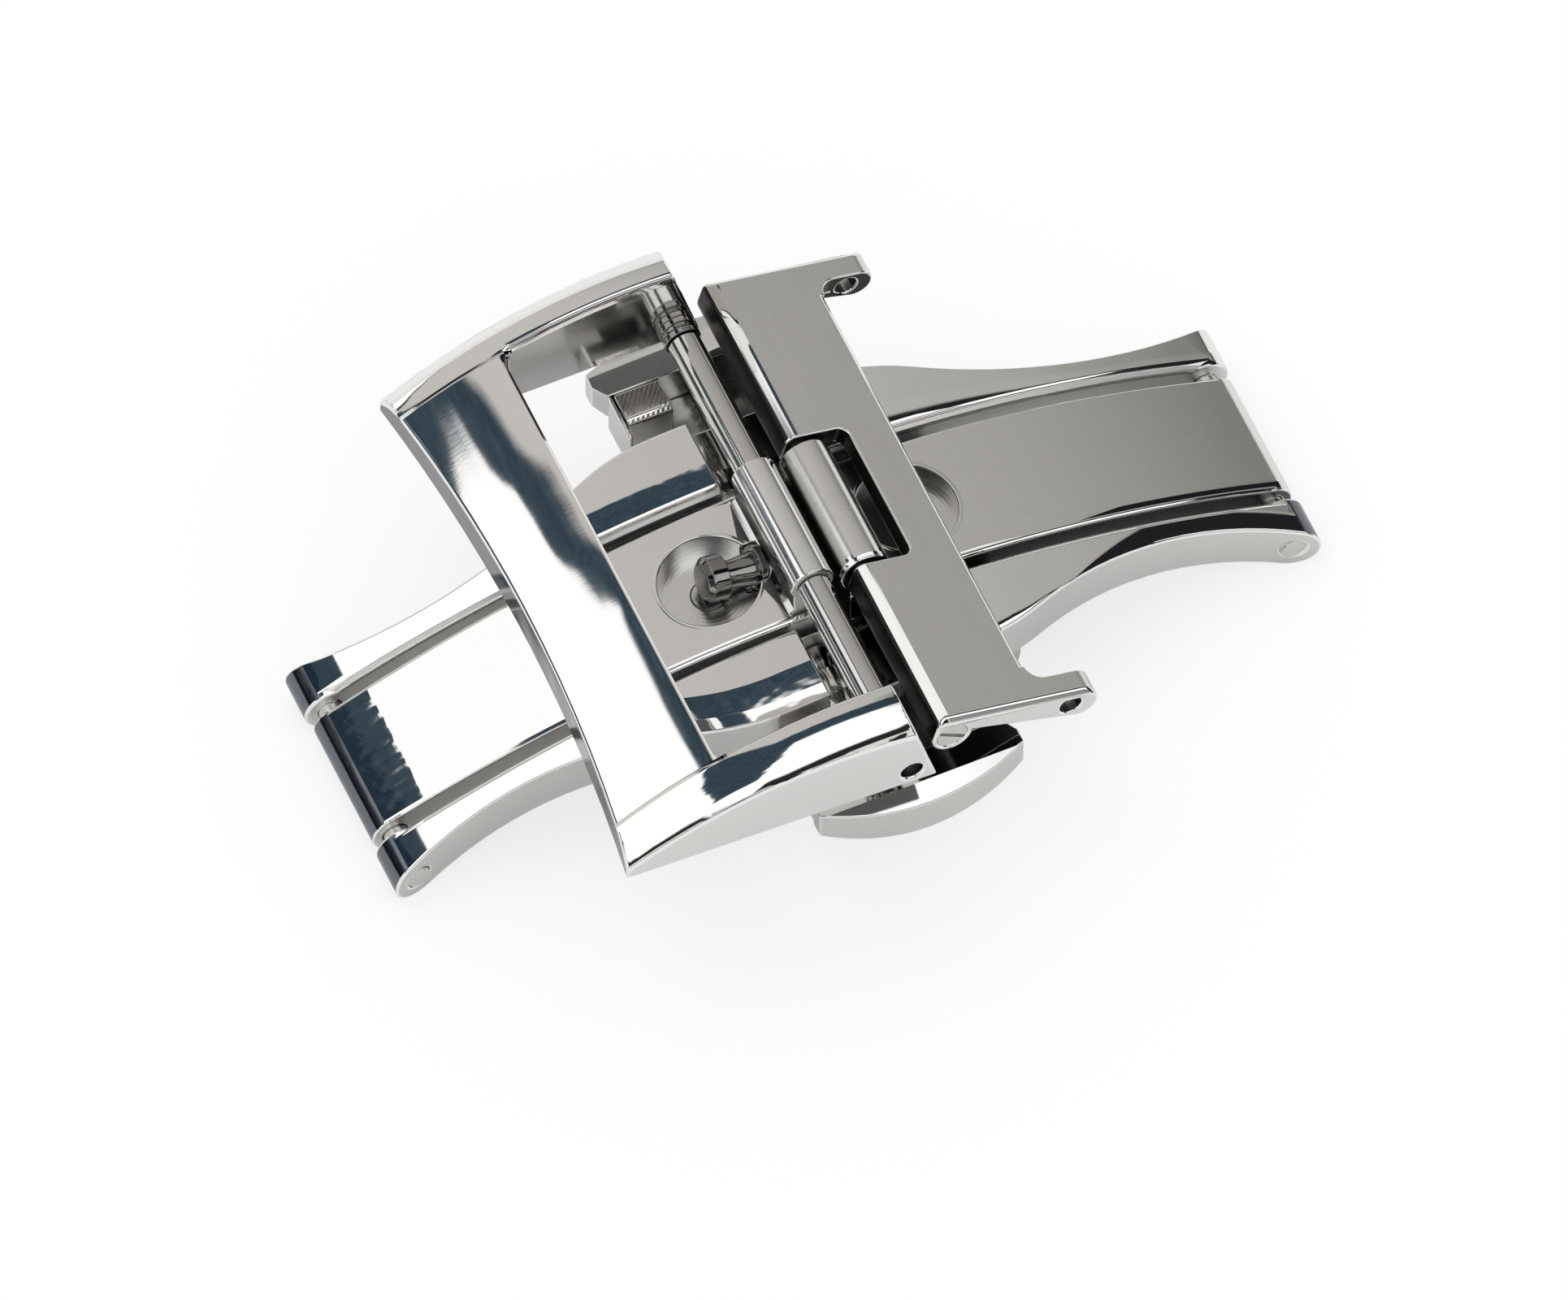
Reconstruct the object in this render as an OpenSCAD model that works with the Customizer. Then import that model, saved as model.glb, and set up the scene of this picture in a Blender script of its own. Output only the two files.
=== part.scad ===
// Push-button folding clasp for a watch strap.
// A bowed bridge carries two folding arms, the left arm carries the buckle frame
// and the strap stud, the right arm carries the strap link.
// Millimetres. X runs along the strap, Y across it, Z is up.
// Drawn folded shut and standing on the two ends of its bridge.

/* [Strap] */
// Width of the strap that fits between the ears of the link
strap_w = 18; // [17:0.5:20]
// Space left on each side between the strap opening of the frame and the strap
strap_gap = 0.1; // [0.05:0.05:0.3]

/* [Bridge] */
// Distance from the middle of the clasp to each end hinge
hinge_x = 16.6; // [16:0.1:18]
// Height of the bow between the hinge line and the middle of the bridge
arch_rise = 3.6; // [3.3:0.1:4]
// Thickness of the rails, which is also the height of their rounded ends
rail_t = 1.9; // [1.8:0.05:2]
// Distance from the centre line to the inner face of each rail
rail_in = 3.02; // [3:0.02:3.2]
// Half width of the bridge at its middle
flare_half = 6.15; // [5.9:0.05:6.4]
// Half width of the bridge at its waists
waist_half = 4.05; // [3.95:0.05:4.2]
// Distance from the middle to each waist
waist_x = 12.8; // [12.4:0.1:13.2]
// Radius of the outward curve beside the middle, in plan
flare_r = 8; // [7.5:0.25:8.5]
// Radius of the inward curve at the waist, in plan
waist_r = 15; // [14:0.5:16]
// Bevel along the inner top edges of the rails
rail_bevel = 0.25; // [0.1:0.05:0.4]
// Half width of the notch across the middle of both rails
notch_half = 1.7; // [1.65:0.05:1.9]
// Height of the floor of that notch
notch_z = 4.6; // [4.6:0.05:4.8]

/* [Arms] */
// Thickness of the two folding arms
arm_t = 1.6; // [1.5:0.05:1.7]
// How far the arms lie below the tops of the rails
arm_sunk = 0.1; // [0:0.05:0.2]
// Half width of each arm at its hinge
arm_hinge_half = 2.55; // [2.4:0.05:2.6]
// Half width of the left arm near the middle of the clasp
left_arm_half = 2.85; // [2.7:0.01:2.88]
// Half width of the right arm near the middle of the clasp
right_arm_half = 2.68; // [2.6:0.01:2.8]
// Bevel along the top edges of the arms
arm_bevel = 0.1; // [0.05:0.05:0.4]
// Radius of the round recess in each arm
recess_r = 1.8; // [1.7:0.05:1.9]
// Height of the floor of both recesses
recess_z = 4.3; // [4.25:0.05:4.4]
// Distance from the middle to the recess in the left arm
left_recess_x = 3.6; // [3.5:0.05:3.7]
// Distance from the middle to the recess in the right arm
right_recess_x = 3.9; // [3.8:0.05:4]

/* [Hinges] */
// Radius of the end hinge pins
hinge_pin_r = 0.45; // [0.4:0.01:0.5]
// Radius of the cross bar that the buckle frame turns on
bar_r = 0.39; // [0.35:0.01:0.42]
// Distance from the middle to the axis of the cross bar
bar_x = 0.8; // [0.8:0.05:0.9]
// Height of the axis of the cross bar
bar_z = 6.8; // [6.75:0.05:6.9]
// Radius of the knuckle on the left arm
knuckle_r = 0.82; // [0.75:0.01:0.84]
// Distance from the middle to the axis of the link pin
link_x = 1.15; // [1.15:0.05:1.25]
// Height of the axis of the link pin
link_z = 6.45; // [6.4:0.05:6.55]
// Radius of the barrel on the right arm
barrel_r = 0.93; // [0.85:0.01:0.93]

/* [Buckle frame] */
// Radius of the crowned top, seen from the side
crown_r = 17; // [16.5:0.1:17.5]
// Distance from the middle to the highest line of the crown
crown_x = 2.2; // [2:0.1:2.4]
// Height of the highest line of the crown
crown_top = 9.95; // [9.8:0.05:10.2]
// Radius of the rounded shoulders above the legs
shoulder_r = 2.1; // [2.1:0.05:2.4]
// Width of each leg at its free end
leg_w = 1.9; // [1.8:0.05:2]
// Narrowing of each side of the frame towards the outer end
frame_taper = 0.4; // [0.2:0.1:0.6]
// Height of the flat underside of the legs
leg_z = 6.2; // [6.2:0.05:6.3]
// Distance from the middle to the corners of the outer end
frame_end = 11.4; // [11.2:0.1:11.8]
// Depth of the hollow curve along the outer end
end_hollow = 0.8; // [0.4:0.1:1]
// Distance from the middle to the inner edge of the end bar
window_end = 7.35; // [7.2:0.05:7.6]
// Thickness of the end bar
end_bar_t = 1.3; // [1.2:0.05:1.4]
// Bevel round the top of the strap window
window_bevel = 0.15; // [0.1:0.05:0.35]

/* [Strap link] */
// Angle at which the link slopes down to the right
link_tilt = 15; // [14.5:0.5:16]
// Distance from the pin axis to the top face of the link
link_top = 0.95; // [0.95:0.01:1]
// Thickness of the link plate
link_t = 0.8; // [0.7:0.05:1]
// Distance from the pin axis to the right edge of the link plate
link_len = 3.3; // [3.1:0.1:3.4]
// Thickness of each ear of the link across the strap
ear_t = 1; // [0.9:0.05:1.1]
// Distance from the pin axis to the hole for the strap bar
ear_hole_x = 4.55; // [4.45:0.05:4.7]
// Radius of the hole for the strap bar
ear_hole_r = 0.4; // [0.35:0.05:0.45]
// Half width of the slot that holds the barrel
slot_half = 2.85; // [2.82:0.01:2.95]
// Depth of that slot from the pin axis
slot_depth = 1.5; // [1.4:0.05:1.7]

/* [Buttons] */
// Distance that each button travels when it is pressed
travel = 0.7; // [0.5:0.05:0.75]
// Radius of the curved outer face of each button
button_r = 9.5; // [9:0.1:10]
// Half length of each button
button_half = 3.86; // [3.7:0.02:3.9]
// Height of the flat top of each button
button_top = 4.45; // [4.3:0.05:4.55]
// Height of each button at its middle
button_h = 1.87; // [1.75:0.01:1.9]
// Height of each button at its tips
button_tip_h = 1.2; // [1.1:0.05:1.3]
// Slope of the facet between the flat top and the curved outer face
button_slope = 21; // [15:1:25]
// Thickness of each latch slide
slide_t = 0.35; // [0.3:0.05:0.35]

/* [Strap stud] */
// Upward tilt of the stud
stud_tilt = 11; // [9:0.5:13]
// Radius of the head of the stud
stud_head_r = 0.82; // [0.75:0.01:0.84]
// Smallest radius of the neck of the stud
stud_neck_r = 0.5; // [0.4:0.05:0.6]

/* [Clearances] */
// Radial clearance of every turning bore
turn_gap = 0.02; // [0.01:0.005:0.03]
// Radial clearance of every bore that only holds its pin
press_gap = 0.005; // [0.005:0.001:0.01]
// Clearance above and below each latch slide
slide_gap = 0.03; // [0.02:0.005:0.03]
// Clearance beside parts that pass each other
side_gap = 0.1; // [0.08:0.01:0.12]
// Roundness of curved parts
$fn = 96; // [64:8:128]

/* [Hidden] */
eps = 0.01;
far = 40;
steel = [0.80, 0.81, 0.83];
satin = [0.70, 0.71, 0.73];
dark_steel = [0.45, 0.46, 0.48];
spring_steel = [0.36, 0.37, 0.40];

// Rounded rail ends set the height of the hinge line above the ground
end_r = rail_t / 2;
hinge_z = end_r;

// Bow of the bridge: radius and centre of the line half way through the rails
arch_r = (hinge_x * hinge_x + arch_rise * arch_rise) / (2 * arch_rise);
arch_cz = hinge_z + arch_rise - arch_r;
rail_top_r = arch_r + end_r;
rail_low_r = arch_r - end_r;
arm_top_r = rail_top_r - arm_sunk;
arm_low_r = arm_top_r - arm_t;
arm_end_r = end_r - arm_sunk;

// Curve of the rails in plan: the two arcs touch each other
waist_cy = waist_half + waist_r;
flare_cy = flare_half - flare_r;
arc_gap = sqrt(pow(waist_r + flare_r, 2) - pow(waist_cy - flare_cy, 2));
flare_cx = waist_x - arc_gap;
touch_y = flare_cy + (waist_cy - flare_cy) * flare_r / (waist_r + flare_r);
rail_end_half = waist_cy - sqrt(waist_r * waist_r - pow(hinge_x - waist_x, 2));

// Strap opening of the buckle frame and outer width of the link
window_half = strap_w / 2 + strap_gap;
frame_half = window_half + leg_w;
link_half = strap_w / 2 + ear_t;
crown_z = crown_top - crown_r;
shoulder_y = window_half + strap_gap;
leg_end = 0.1;
leg_slant = 0.25;

// Latch, stacked upwards from the underside of its housing
house_z = 1.2;
cover_t = 0.4;
stack_gap = 0.05;
head_t = 0.35;
head_r = 0.95;
post_r = 0.6;
head_z = house_z + cover_t + stack_gap;
near_slide_z = head_z + head_t + stack_gap;
far_slide_z = near_slide_z + slide_t + stack_gap;
ceiling_z = far_slide_z + slide_t + stack_gap;
ceiling_gap = 0.15;
house_half = [6.2, 5.3];
house_corner = 1;
cavity_half = [5.3, 2.8];
cover_half = [5.75, 4.7];
cover_corner = 0.8;
screw_at = [4.9, 3.9];
screw_r = 0.3;
screw_head_r = 0.55;
screw_head_t = 0.3;
screw_len = 1.1;
screw_slot = 0.16;
screw_turn = 30;
swing_room = 0.4;
arm_trim = 2;
foot_depth = 0.1;
riser_foot = 0.25;
post_tail = 1;

// Slides: a stem that passes the wall, a stop, and a jaw behind the posts
stem_half = 2.35;
stop_half = 3.5;
stop_len = 0.7;
jaw_half = 4.55;
jaw_y = head_r + side_gap;
jaw_w = 0.9;
block_in = 1.55;
block_out = 3.3;
block_len = 1.3;
block_top = button_top - 0.05;
block_bevel = 0.2;
cheek_x = [3.35, 3.5];
cheek_len = 1.9;

// Buttons: lens shape in plan
button_bulge = frame_half - leg_w / 10;
button_cy = button_bulge - button_r;
button_tip_y = button_cy + sqrt(button_r * button_r - button_half * button_half);
button_in = window_half - leg_w / 8;
button_shoulder = 3.5;
button_tip_t = 0.55;
button_tip_in = button_tip_y - button_tip_t;
button_edge = 0.08;
button_under_r = (button_half * button_half + pow(button_h - button_tip_h, 2))
    / (2 * (button_h - button_tip_h));

// Return springs and their guide rods
rod_r = 0.3;
rod_z = 3.75;
rod_gap = 0.05;
rod_end = 4.25;
spring_r = 0.55;
spring_wire_r = 0.1;
spring_turns = 9;
spring_wall = 0.08;
spring_facets = 24;
pocket_r = 0.63;
pocket_end = 5;
boss_r = 0.8;
boss_in = rail_in + 0.2;
boss_out = flare_half - 0.2;
rod_hold = 1;
rod_hole = 1;

// Barrels and risers in the middle of the clasp
left_riser = [-1.5, -0.35];
right_riser = [0.55, 1.75];
knuckle_half = 2.56;
barrel_half = 2.65;
bar_half = frame_half - 0.55;
link_pin_r = 0.42;
link_pin_half = link_half - ear_t / 2;
link_screw_recess = 0.05;
link_screw_r = 0.56;
sleeve_r = 0.6;
sleeve_in = knuckle_half + 0.05;
collar_r = 0.68;
collar_len = 0.66;
collar_groove_r = 0.1;

// Ears of the link
ear_drop = 0.34;
ear_r = (link_top + ear_drop) / 2;
ear_root = 0.6;
ear_tip_x = ear_hole_x + 0.38;
link_edge = 0.2;
link_back_r = 0.76;
link_corner_r = 0.38;
link_floor = link_top - link_t;
slot_corner = 0.35;
cutter = 2;
link_screw_turn = 35;
thread_r = 0.25;
thread_len = 1.5;

// Stud, measured along its own axis from the plane of its seat
stud_seat = [-1.68, 4.93];
stud_seat_gap = 0.04;
stud_seat_len = 0.5;
stud_shank_r = 0.4;
stud_shank_len = 0.7;
stud_collar_t = 0.28;
stud_neck_end = 1.45;
stud_len = 2.25;
stud_round = 0.2;
stud_flare = 0.75;

// Straight round bar across the clasp from y0 to y1
module cross_rod(x, z, r, y0, y1) {
    translate([x, y0, z])
        rotate([-90, 0, 0])
            cylinder(r = r, h = y1 - y0);
}

// Side view drawn in X and Z, given a width from y0 to y1
module across(y0, y1) {
    translate([0, y1, 0])
        rotate([90, 0, 0])
            linear_extrude(y1 - y0)
                children();
}

// Section drawn as radius against Y, turned about a line across the clasp
module about_y(x, z) {
    translate([x, 0, z])
        rotate([-90, 0, 0])
            rotate_extrude($fn = 2 * $fn)
                children();
}

// Both halves across the clasp
module both_sides() {
    children();
    mirror([0, 1, 0])
        children();
}

// Side view of everything between the two hinge lines, seen from the bow's centre
module bow_sector() {
    reach = 1.2;
    rise = hinge_z - arch_cz;
    across(-far, far)
        polygon([
            [0, arch_cz],
            [-hinge_x * reach, arch_cz + reach * rise],
            [hinge_x * reach, arch_cz + reach * rise]
        ]);
}

// Plate with round corners, in plan
module round_plate(half, corner) {
    square([2 * half[0], 2 * (half[1] - corner)], center = true);
    square([2 * (half[0] - corner), 2 * half[1]], center = true);
    for (sx = [-1, 1], sy = [-1, 1])
        translate([sx * (half[0] - corner), sy * (half[1] - corner)])
            circle(corner);
}

// Far rail in plan: flared middle, waists, straight inner face
module rail_plan() {
    long = hinge_x + end_r;
    difference() {
        union() {
            translate([-long, 0])
                square([2 * long, touch_y]);
            translate([-flare_cx, 0])
                square([2 * flare_cx, flare_half]);
            intersection() {
                union()
                    for (s = [-1, 1])
                        translate([s * flare_cx, flare_cy])
                            circle(flare_r);
                translate([-far, 0])
                    square([2 * far, far]);
            }
        }
        for (s = [-1, 1])
            translate([s * waist_x, waist_cy])
                circle(waist_r);
        translate([-far, -far])
            square([2 * far, far + rail_in]);
    }
}

// Bow of the far rail with its bevelled inner edge and the notch in its middle
module rail_bow() {
    difference() {
        intersection() {
            about_y(0, arch_cz)
                polygon([
                    [rail_low_r, 0],
                    [rail_low_r, far],
                    [rail_top_r, far],
                    [rail_top_r, rail_in + rail_bevel],
                    [rail_top_r - rail_bevel, rail_in],
                    [rail_top_r - rail_bevel, 0]
                ]);
            bow_sector();
        }
        translate([-notch_half, 0, notch_z])
            cube([2 * notch_half, far, far]);
    }
}

// Upright block with the plan of the far rail
module rail_block() {
    translate([0, 0, -end_r])
        linear_extrude(far)
            rail_plan();
}

// Far rail with its round ends
module rail() {
    intersection() {
        rail_block();
        rail_bow();
    }
    for (s = [-1, 1])
        intersection() {
            rail_block();
            cross_rod(s * hinge_x, hinge_z, end_r, 0, far);
        }
}

// Housing of the latch under the middle of the bridge
module latch_housing() {
    intersection() {
        translate([0, 0, house_z])
            linear_extrude(far)
                round_plate(house_half, house_corner);
        about_y(0, arch_cz)
            translate([0, -far])
                square([arm_low_r - ceiling_gap, 2 * far]);
    }
}

// Slot for the stem of a slide through the far wall
module slide_slot(z) {
    translate([-stem_half - slide_gap, cavity_half[1] - eps, z - slide_gap])
        cube([2 * (stem_half + slide_gap), far, slide_t + 2 * slide_gap]);
}

// Hole above a catch post, longer towards the hinge that its arm swings about
module post_hole(x, side) {
    r = head_r + ceiling_gap;
    translate([x, 0, ceiling_z - eps])
        linear_extrude(far) {
            circle(r);
            translate([side * swing_room, 0])
                circle(r);
            translate([side * swing_room / 2, 0])
                square([swing_room, 2 * r], center = true);
        }
}

// Places of the four cover screws
module at_screws() {
    for (sx = [-1, 1], sy = [-1, 1])
        translate([sx * screw_at[0], sy * screw_at[1], house_z])
            rotate([0, 0, sx * sy * screw_turn])
                children();
}

// Space inside the housing with the openings that lead into it
module latch_cavity() {
    open_half = [cover_half[0] + slide_gap, cover_half[1] + slide_gap];
    translate([-cavity_half[0], -cavity_half[1], house_z + cover_t - eps])
        cube([2 * cavity_half[0], 2 * cavity_half[1], ceiling_z - house_z - cover_t + eps]);
    translate([0, 0, house_z - eps])
        linear_extrude(cover_t + eps)
            round_plate(open_half, cover_corner);
    at_screws()
        cylinder(r = screw_r + press_gap, h = screw_len + stack_gap);
    slide_slot(far_slide_z);
    mirror([0, 1, 0])
        slide_slot(near_slide_z);
    post_hole(-left_recess_x, -1);
    post_hole(right_recess_x, 1);
}

module bridge() {
    color(steel)
        difference() {
            union() {
                both_sides() {
                    rail();
                    cross_rod(0, rod_z, boss_r, boss_in, boss_out);
                }
                latch_housing();
            }
            for (s = [-1, 1])
                cross_rod(s * hinge_x, hinge_z, hinge_pin_r + press_gap, -far, far);
            latch_cavity();
            both_sides() {
                cross_rod(0, rod_z, rod_r + rod_gap, rod_end - travel - side_gap, far);
                cross_rod(0, rod_z, pocket_r, pocket_end, far);
            }
        }
}

module latch_cover() {
    color(satin)
        difference() {
            translate([0, 0, house_z])
                linear_extrude(cover_t)
                    round_plate(cover_half, cover_corner);
            at_screws() {
                translate([0, 0, -eps])
                    cylinder(r = screw_r + side_gap, h = 2 * cover_t);
                translate([0, 0, -eps])
                    cylinder(r = screw_head_r + press_gap, h = screw_head_t + eps);
            }
        }
}

// The four identical screws of the cover
module cover_screws() {
    color(dark_steel)
        at_screws()
            difference() {
                union() {
                    cylinder(r = screw_head_r, h = screw_head_t);
                    cylinder(r = screw_r, h = screw_len);
                }
                translate([-screw_head_r, -screw_slot / 2, -eps])
                    cube([2 * screw_head_r, screw_slot, screw_slot]);
            }
}

module left_hinge_pin() {
    color(steel)
        cross_rod(-hinge_x, hinge_z, hinge_pin_r, -rail_end_half, rail_end_half);
}

module right_hinge_pin() {
    color(steel)
        cross_rod(hinge_x, hinge_z, hinge_pin_r, -rail_end_half, rail_end_half);
}

// Curved plate of the right arm: narrower at its hinge, bevelled along its top
module arm_plate(half, inner_x) {
    turn = atan((half - arm_hinge_half) / hinge_x);
    difference() {
        intersection() {
            about_y(0, arch_cz)
                translate([arm_low_r, -half - arm_trim])
                    square([arm_t, 2 * (half + arm_trim)]);
            bow_sector();
            translate([inner_x, -far, -far])
                cube([far, 2 * far, 2 * far]);
        }
        both_sides()
            rotate([0, 0, -turn])
                about_y(0, arch_cz)
                    polygon([
                        [arm_low_r - arm_trim, half],
                        [arm_top_r - arm_bevel, half],
                        [arm_top_r + arm_trim, half - arm_bevel - arm_trim],
                        [arm_top_r + arm_trim, half + 2 * arm_trim],
                        [arm_low_r - arm_trim, half + 2 * arm_trim]
                    ]);
    }
}

// Upright wall that carries a knuckle, widened at its foot towards the side s
module riser(x, s, top, half) {
    foot = arch_cz + arm_low_r + foot_depth;
    face = s < 0 ? x[0] : x[1];
    back = s < 0 ? x[1] : x[0];
    floor_z = arch_cz + sqrt(pow(arm_top_r, 2) - pow(face, 2));
    across(-half, half)
        polygon([
            [back, foot],
            [face + s * riser_foot, foot],
            [face + s * riser_foot, floor_z - foot_depth],
            [face, floor_z + riser_foot],
            [face, top],
            [back, top]
        ]);
}

// Round recess in an arm with the hole for its catch post
module recess(x) {
    translate([x, 0, recess_z])
        cylinder(r = recess_r, h = far);
    hole_z = arch_cz + arm_low_r - post_tail;
    translate([x, 0, hole_z])
        cylinder(r = post_r + press_gap, h = recess_z - hole_z + eps);
}

module left_arm() {
    color(steel)
        difference() {
            union() {
                mirror([1, 0, 0])
                    arm_plate(left_arm_half, -left_riser[1]);
                cross_rod(-hinge_x, hinge_z, arm_end_r, -arm_hinge_half, arm_hinge_half);
                riser(left_riser, -1, bar_z, knuckle_half);
                cross_rod(-bar_x, bar_z, knuckle_r, -knuckle_half, knuckle_half);
            }
            cross_rod(-hinge_x, hinge_z, hinge_pin_r + turn_gap, -far, far);
            cross_rod(-bar_x, bar_z, bar_r + turn_gap, -far, far);
            recess(-left_recess_x);
            stud_place() {
                cylinder(r = stud_head_r + stud_seat_gap, h = stud_seat_len);
                translate([0, 0, -stud_shank_len])
                    cylinder(r = stud_shank_r + press_gap, h = stud_shank_len + eps);
            }
        }
}

module right_arm() {
    color(satin)
        difference() {
            union() {
                arm_plate(right_arm_half, right_riser[0]);
                cross_rod(hinge_x, hinge_z, arm_end_r, -arm_hinge_half, arm_hinge_half);
                riser(right_riser, 1, link_z, barrel_half);
                cross_rod(link_x, link_z, barrel_r, -barrel_half, barrel_half);
            }
            cross_rod(hinge_x, hinge_z, hinge_pin_r + turn_gap, -far, far);
            cross_rod(link_x, link_z, link_pin_r + turn_gap, -far, far);
            recess(right_recess_x);
        }
}

// Catch post: a neck held in the arm and a wide head for the latch jaws
module catch_post(x) {
    color(steel)
        translate([x, 0, head_z]) {
            cylinder(r = head_r, h = head_t);
            cylinder(r = post_r, h = recess_z - head_z);
        }
}

module left_catch_post() {
    catch_post(-left_recess_x);
}

module right_catch_post() {
    catch_post(right_recess_x);
}

// Axis of the stud: starts at its seat and points left and slightly up
module stud_place() {
    translate([stud_seat[0], 0, stud_seat[1]])
        rotate([0, stud_tilt - 90, 0])
            children();
}

module strap_stud() {
    color(steel)
        stud_place() {
            translate([0, 0, -stud_shank_len])
                cylinder(r = stud_shank_r, h = stud_shank_len + eps);
            rotate_extrude()
                polygon([
                    [0, 0],
                    [stud_head_r, 0],
                    [stud_head_r, stud_collar_t],
                    [stud_head_r - stud_round, stud_collar_t],
                    [stud_neck_r, stud_collar_t + stud_flare],
                    [stud_neck_r, stud_neck_end - stud_round / 2],
                    [stud_neck_r + stud_round / 2, stud_neck_end],
                    [stud_head_r, stud_neck_end],
                    [stud_head_r, stud_len - stud_round],
                    [stud_head_r - stud_round, stud_len],
                    [0, stud_len]
                ]);
        }
}

// Crown of the buckle frame: a wide drum with round shoulders
module crown() {
    inner_r = crown_r - shoulder_r;
    about_y(-crown_x, crown_z)
        difference() {
            union() {
                translate([0, -shoulder_y])
                    square([crown_r, 2 * shoulder_y]);
                translate([0, -shoulder_y - shoulder_r])
                    square([inner_r, 2 * (shoulder_y + shoulder_r)]);
                intersection() {
                    union()
                        for (s = [-1, 1])
                            translate([inner_r, s * shoulder_y])
                                circle(shoulder_r);
                    translate([0, -far])
                        square([far, 2 * far]);
                }
            }
            for (s = [-1, 1])
                polygon([
                    [crown_r - window_bevel, s * window_half],
                    [crown_r + window_bevel, s * window_half],
                    [crown_r + window_bevel, s * (window_half + 2 * window_bevel)]
                ]);
        }
}

// Outline of the buckle frame in plan, hollow at its outer end
module frame_plan() {
    end_half = frame_half - frame_taper;
    hollow_r = (end_half * end_half + end_hollow * end_hollow) / (2 * end_hollow);
    difference() {
        polygon([
            [-frame_end, -end_half],
            [-frame_end, end_half],
            [0, frame_half],
            [far, frame_half],
            [far, -frame_half],
            [0, -frame_half]
        ]);
        translate([end_hollow - frame_end - hollow_r, 0])
            circle(hollow_r, $fn = 4 * $fn);
    }
}

// Strap window in plan, open to the right
module window_plan() {
    difference() {
        translate([-window_end, -window_half])
            square([far, 2 * window_half]);
        for (s = [-1, 1])
            translate([-window_end, s * window_half])
                difference() {
                    square(2 * slot_corner, center = true);
                    translate([slot_corner, -s * slot_corner])
                        circle(slot_corner);
                }
    }
}

// Side view of the buckle frame: flat underside and slanting leg ends
module frame_side() {
    polygon([
        [-far, leg_z],
        [leg_end, leg_z],
        [leg_end - leg_slant * (crown_top - leg_z), crown_top],
        [-far, crown_top]
    ]);
}

module buckle_frame() {
    slope = asin((window_end - crown_x) / crown_r);
    edge_z = crown_z + sqrt(pow(crown_r, 2) - pow(window_end - crown_x, 2));
    color(steel)
        difference() {
            intersection() {
                crown();
                translate([0, 0, leg_z])
                    linear_extrude(far)
                        frame_plan();
                across(-far, far)
                    frame_side();
            }
            linear_extrude(far)
                window_plan();
            cross_rod(-crown_x, crown_z, crown_r - end_bar_t, -window_half, window_half);
            translate([-window_end, 0, edge_z])
                rotate([0, -(90 + slope) / 2, 0])
                    translate([-window_bevel / sqrt(2), -window_half, -cutter])
                        cube([cutter, 2 * window_half, 2 * cutter]);
            cross_rod(-bar_x, bar_z, bar_r + press_gap, -far, far);
        }
}

module cross_bar() {
    color(steel)
        cross_rod(-bar_x, bar_z, bar_r, -bar_half, bar_half);
}

// Sleeve on the cross bar between the knuckle and a collar
module sleeve() {
    color(satin)
        difference() {
            cross_rod(-bar_x, bar_z, sleeve_r, sleeve_in, window_half - collar_len - stack_gap);
            cross_rod(-bar_x, bar_z, bar_r + turn_gap, 0, far);
        }
}

module near_sleeve() {
    mirror([0, 1, 0])
        sleeve();
}

module far_sleeve() {
    sleeve();
}

// The two identical grooved collars beside the legs
module bar_collars() {
    color(steel)
        both_sides()
            difference() {
                cross_rod(-bar_x, bar_z, collar_r, window_half - collar_len, window_half);
                cross_rod(-bar_x, bar_z, bar_r + press_gap, 0, far);
                about_y(-bar_x, bar_z)
                    translate([collar_r, window_half - collar_len / 2])
                        circle(collar_groove_r);
            }
}

// Placing of the link: origin on its pin, X down its slope
module link_place() {
    translate([link_x, 0, link_z])
        rotate([0, link_tilt, 0])
            children();
}

// Square bar on edge along Y, which bevels the edge it lies on
module edge_across(x, z, c, half) {
    translate([x, 0, z])
        rotate([0, 45, 0])
            cube([sqrt(2) * c, 2 * half, sqrt(2) * c], center = true);
}

// Square bar on edge along X, which bevels the edge it lies on
module edge_along(y, z, c, x0, x1) {
    translate([(x0 + x1) / 2, y, z])
        rotate([45, 0, 0])
            cube([x1 - x0, sqrt(2) * c, sqrt(2) * c], center = true);
}

// Side view of an ear, deeper towards its hole
module ear_side() {
    polygon([
        [0, link_floor],
        [link_back_r, link_floor],
        [ear_tip_x, -ear_drop],
        [ear_tip_x, link_top],
        [0, link_top]
    ]);
    translate([ear_tip_x, link_top - ear_r])
        circle(ear_r);
}

// Side view of the back of the link: round under the pin, square with a soft corner above it
module link_back() {
    circle(link_back_r);
    translate([-link_back_r, 0])
        square([link_back_r, link_top - link_corner_r]);
    translate([link_corner_r - link_back_r, 0])
        square([link_back_r - link_corner_r + eps, link_top]);
    translate([link_corner_r - link_back_r, link_top - link_corner_r])
        circle(link_corner_r);
}

// Slot of the link in plan, open to the left
module slot_plan() {
    translate([-far, -slot_half])
        square([far + slot_depth - slot_corner, 2 * slot_half]);
    translate([-far, -slot_half + slot_corner])
        square([far + slot_depth, 2 * (slot_half - slot_corner)]);
    for (s = [-1, 1])
        translate([slot_depth - slot_corner, s * (slot_half - slot_corner)])
            circle(slot_corner);
}

// Hollow corner between the plate and the far ear, in plan
module ear_fillet() {
    translate([link_len, strap_w / 2])
        difference() {
            translate([-eps, -ear_root])
                square([ear_root + eps, ear_root + eps]);
            translate([ear_root, -ear_root])
                circle(ear_root);
        }
}

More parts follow.
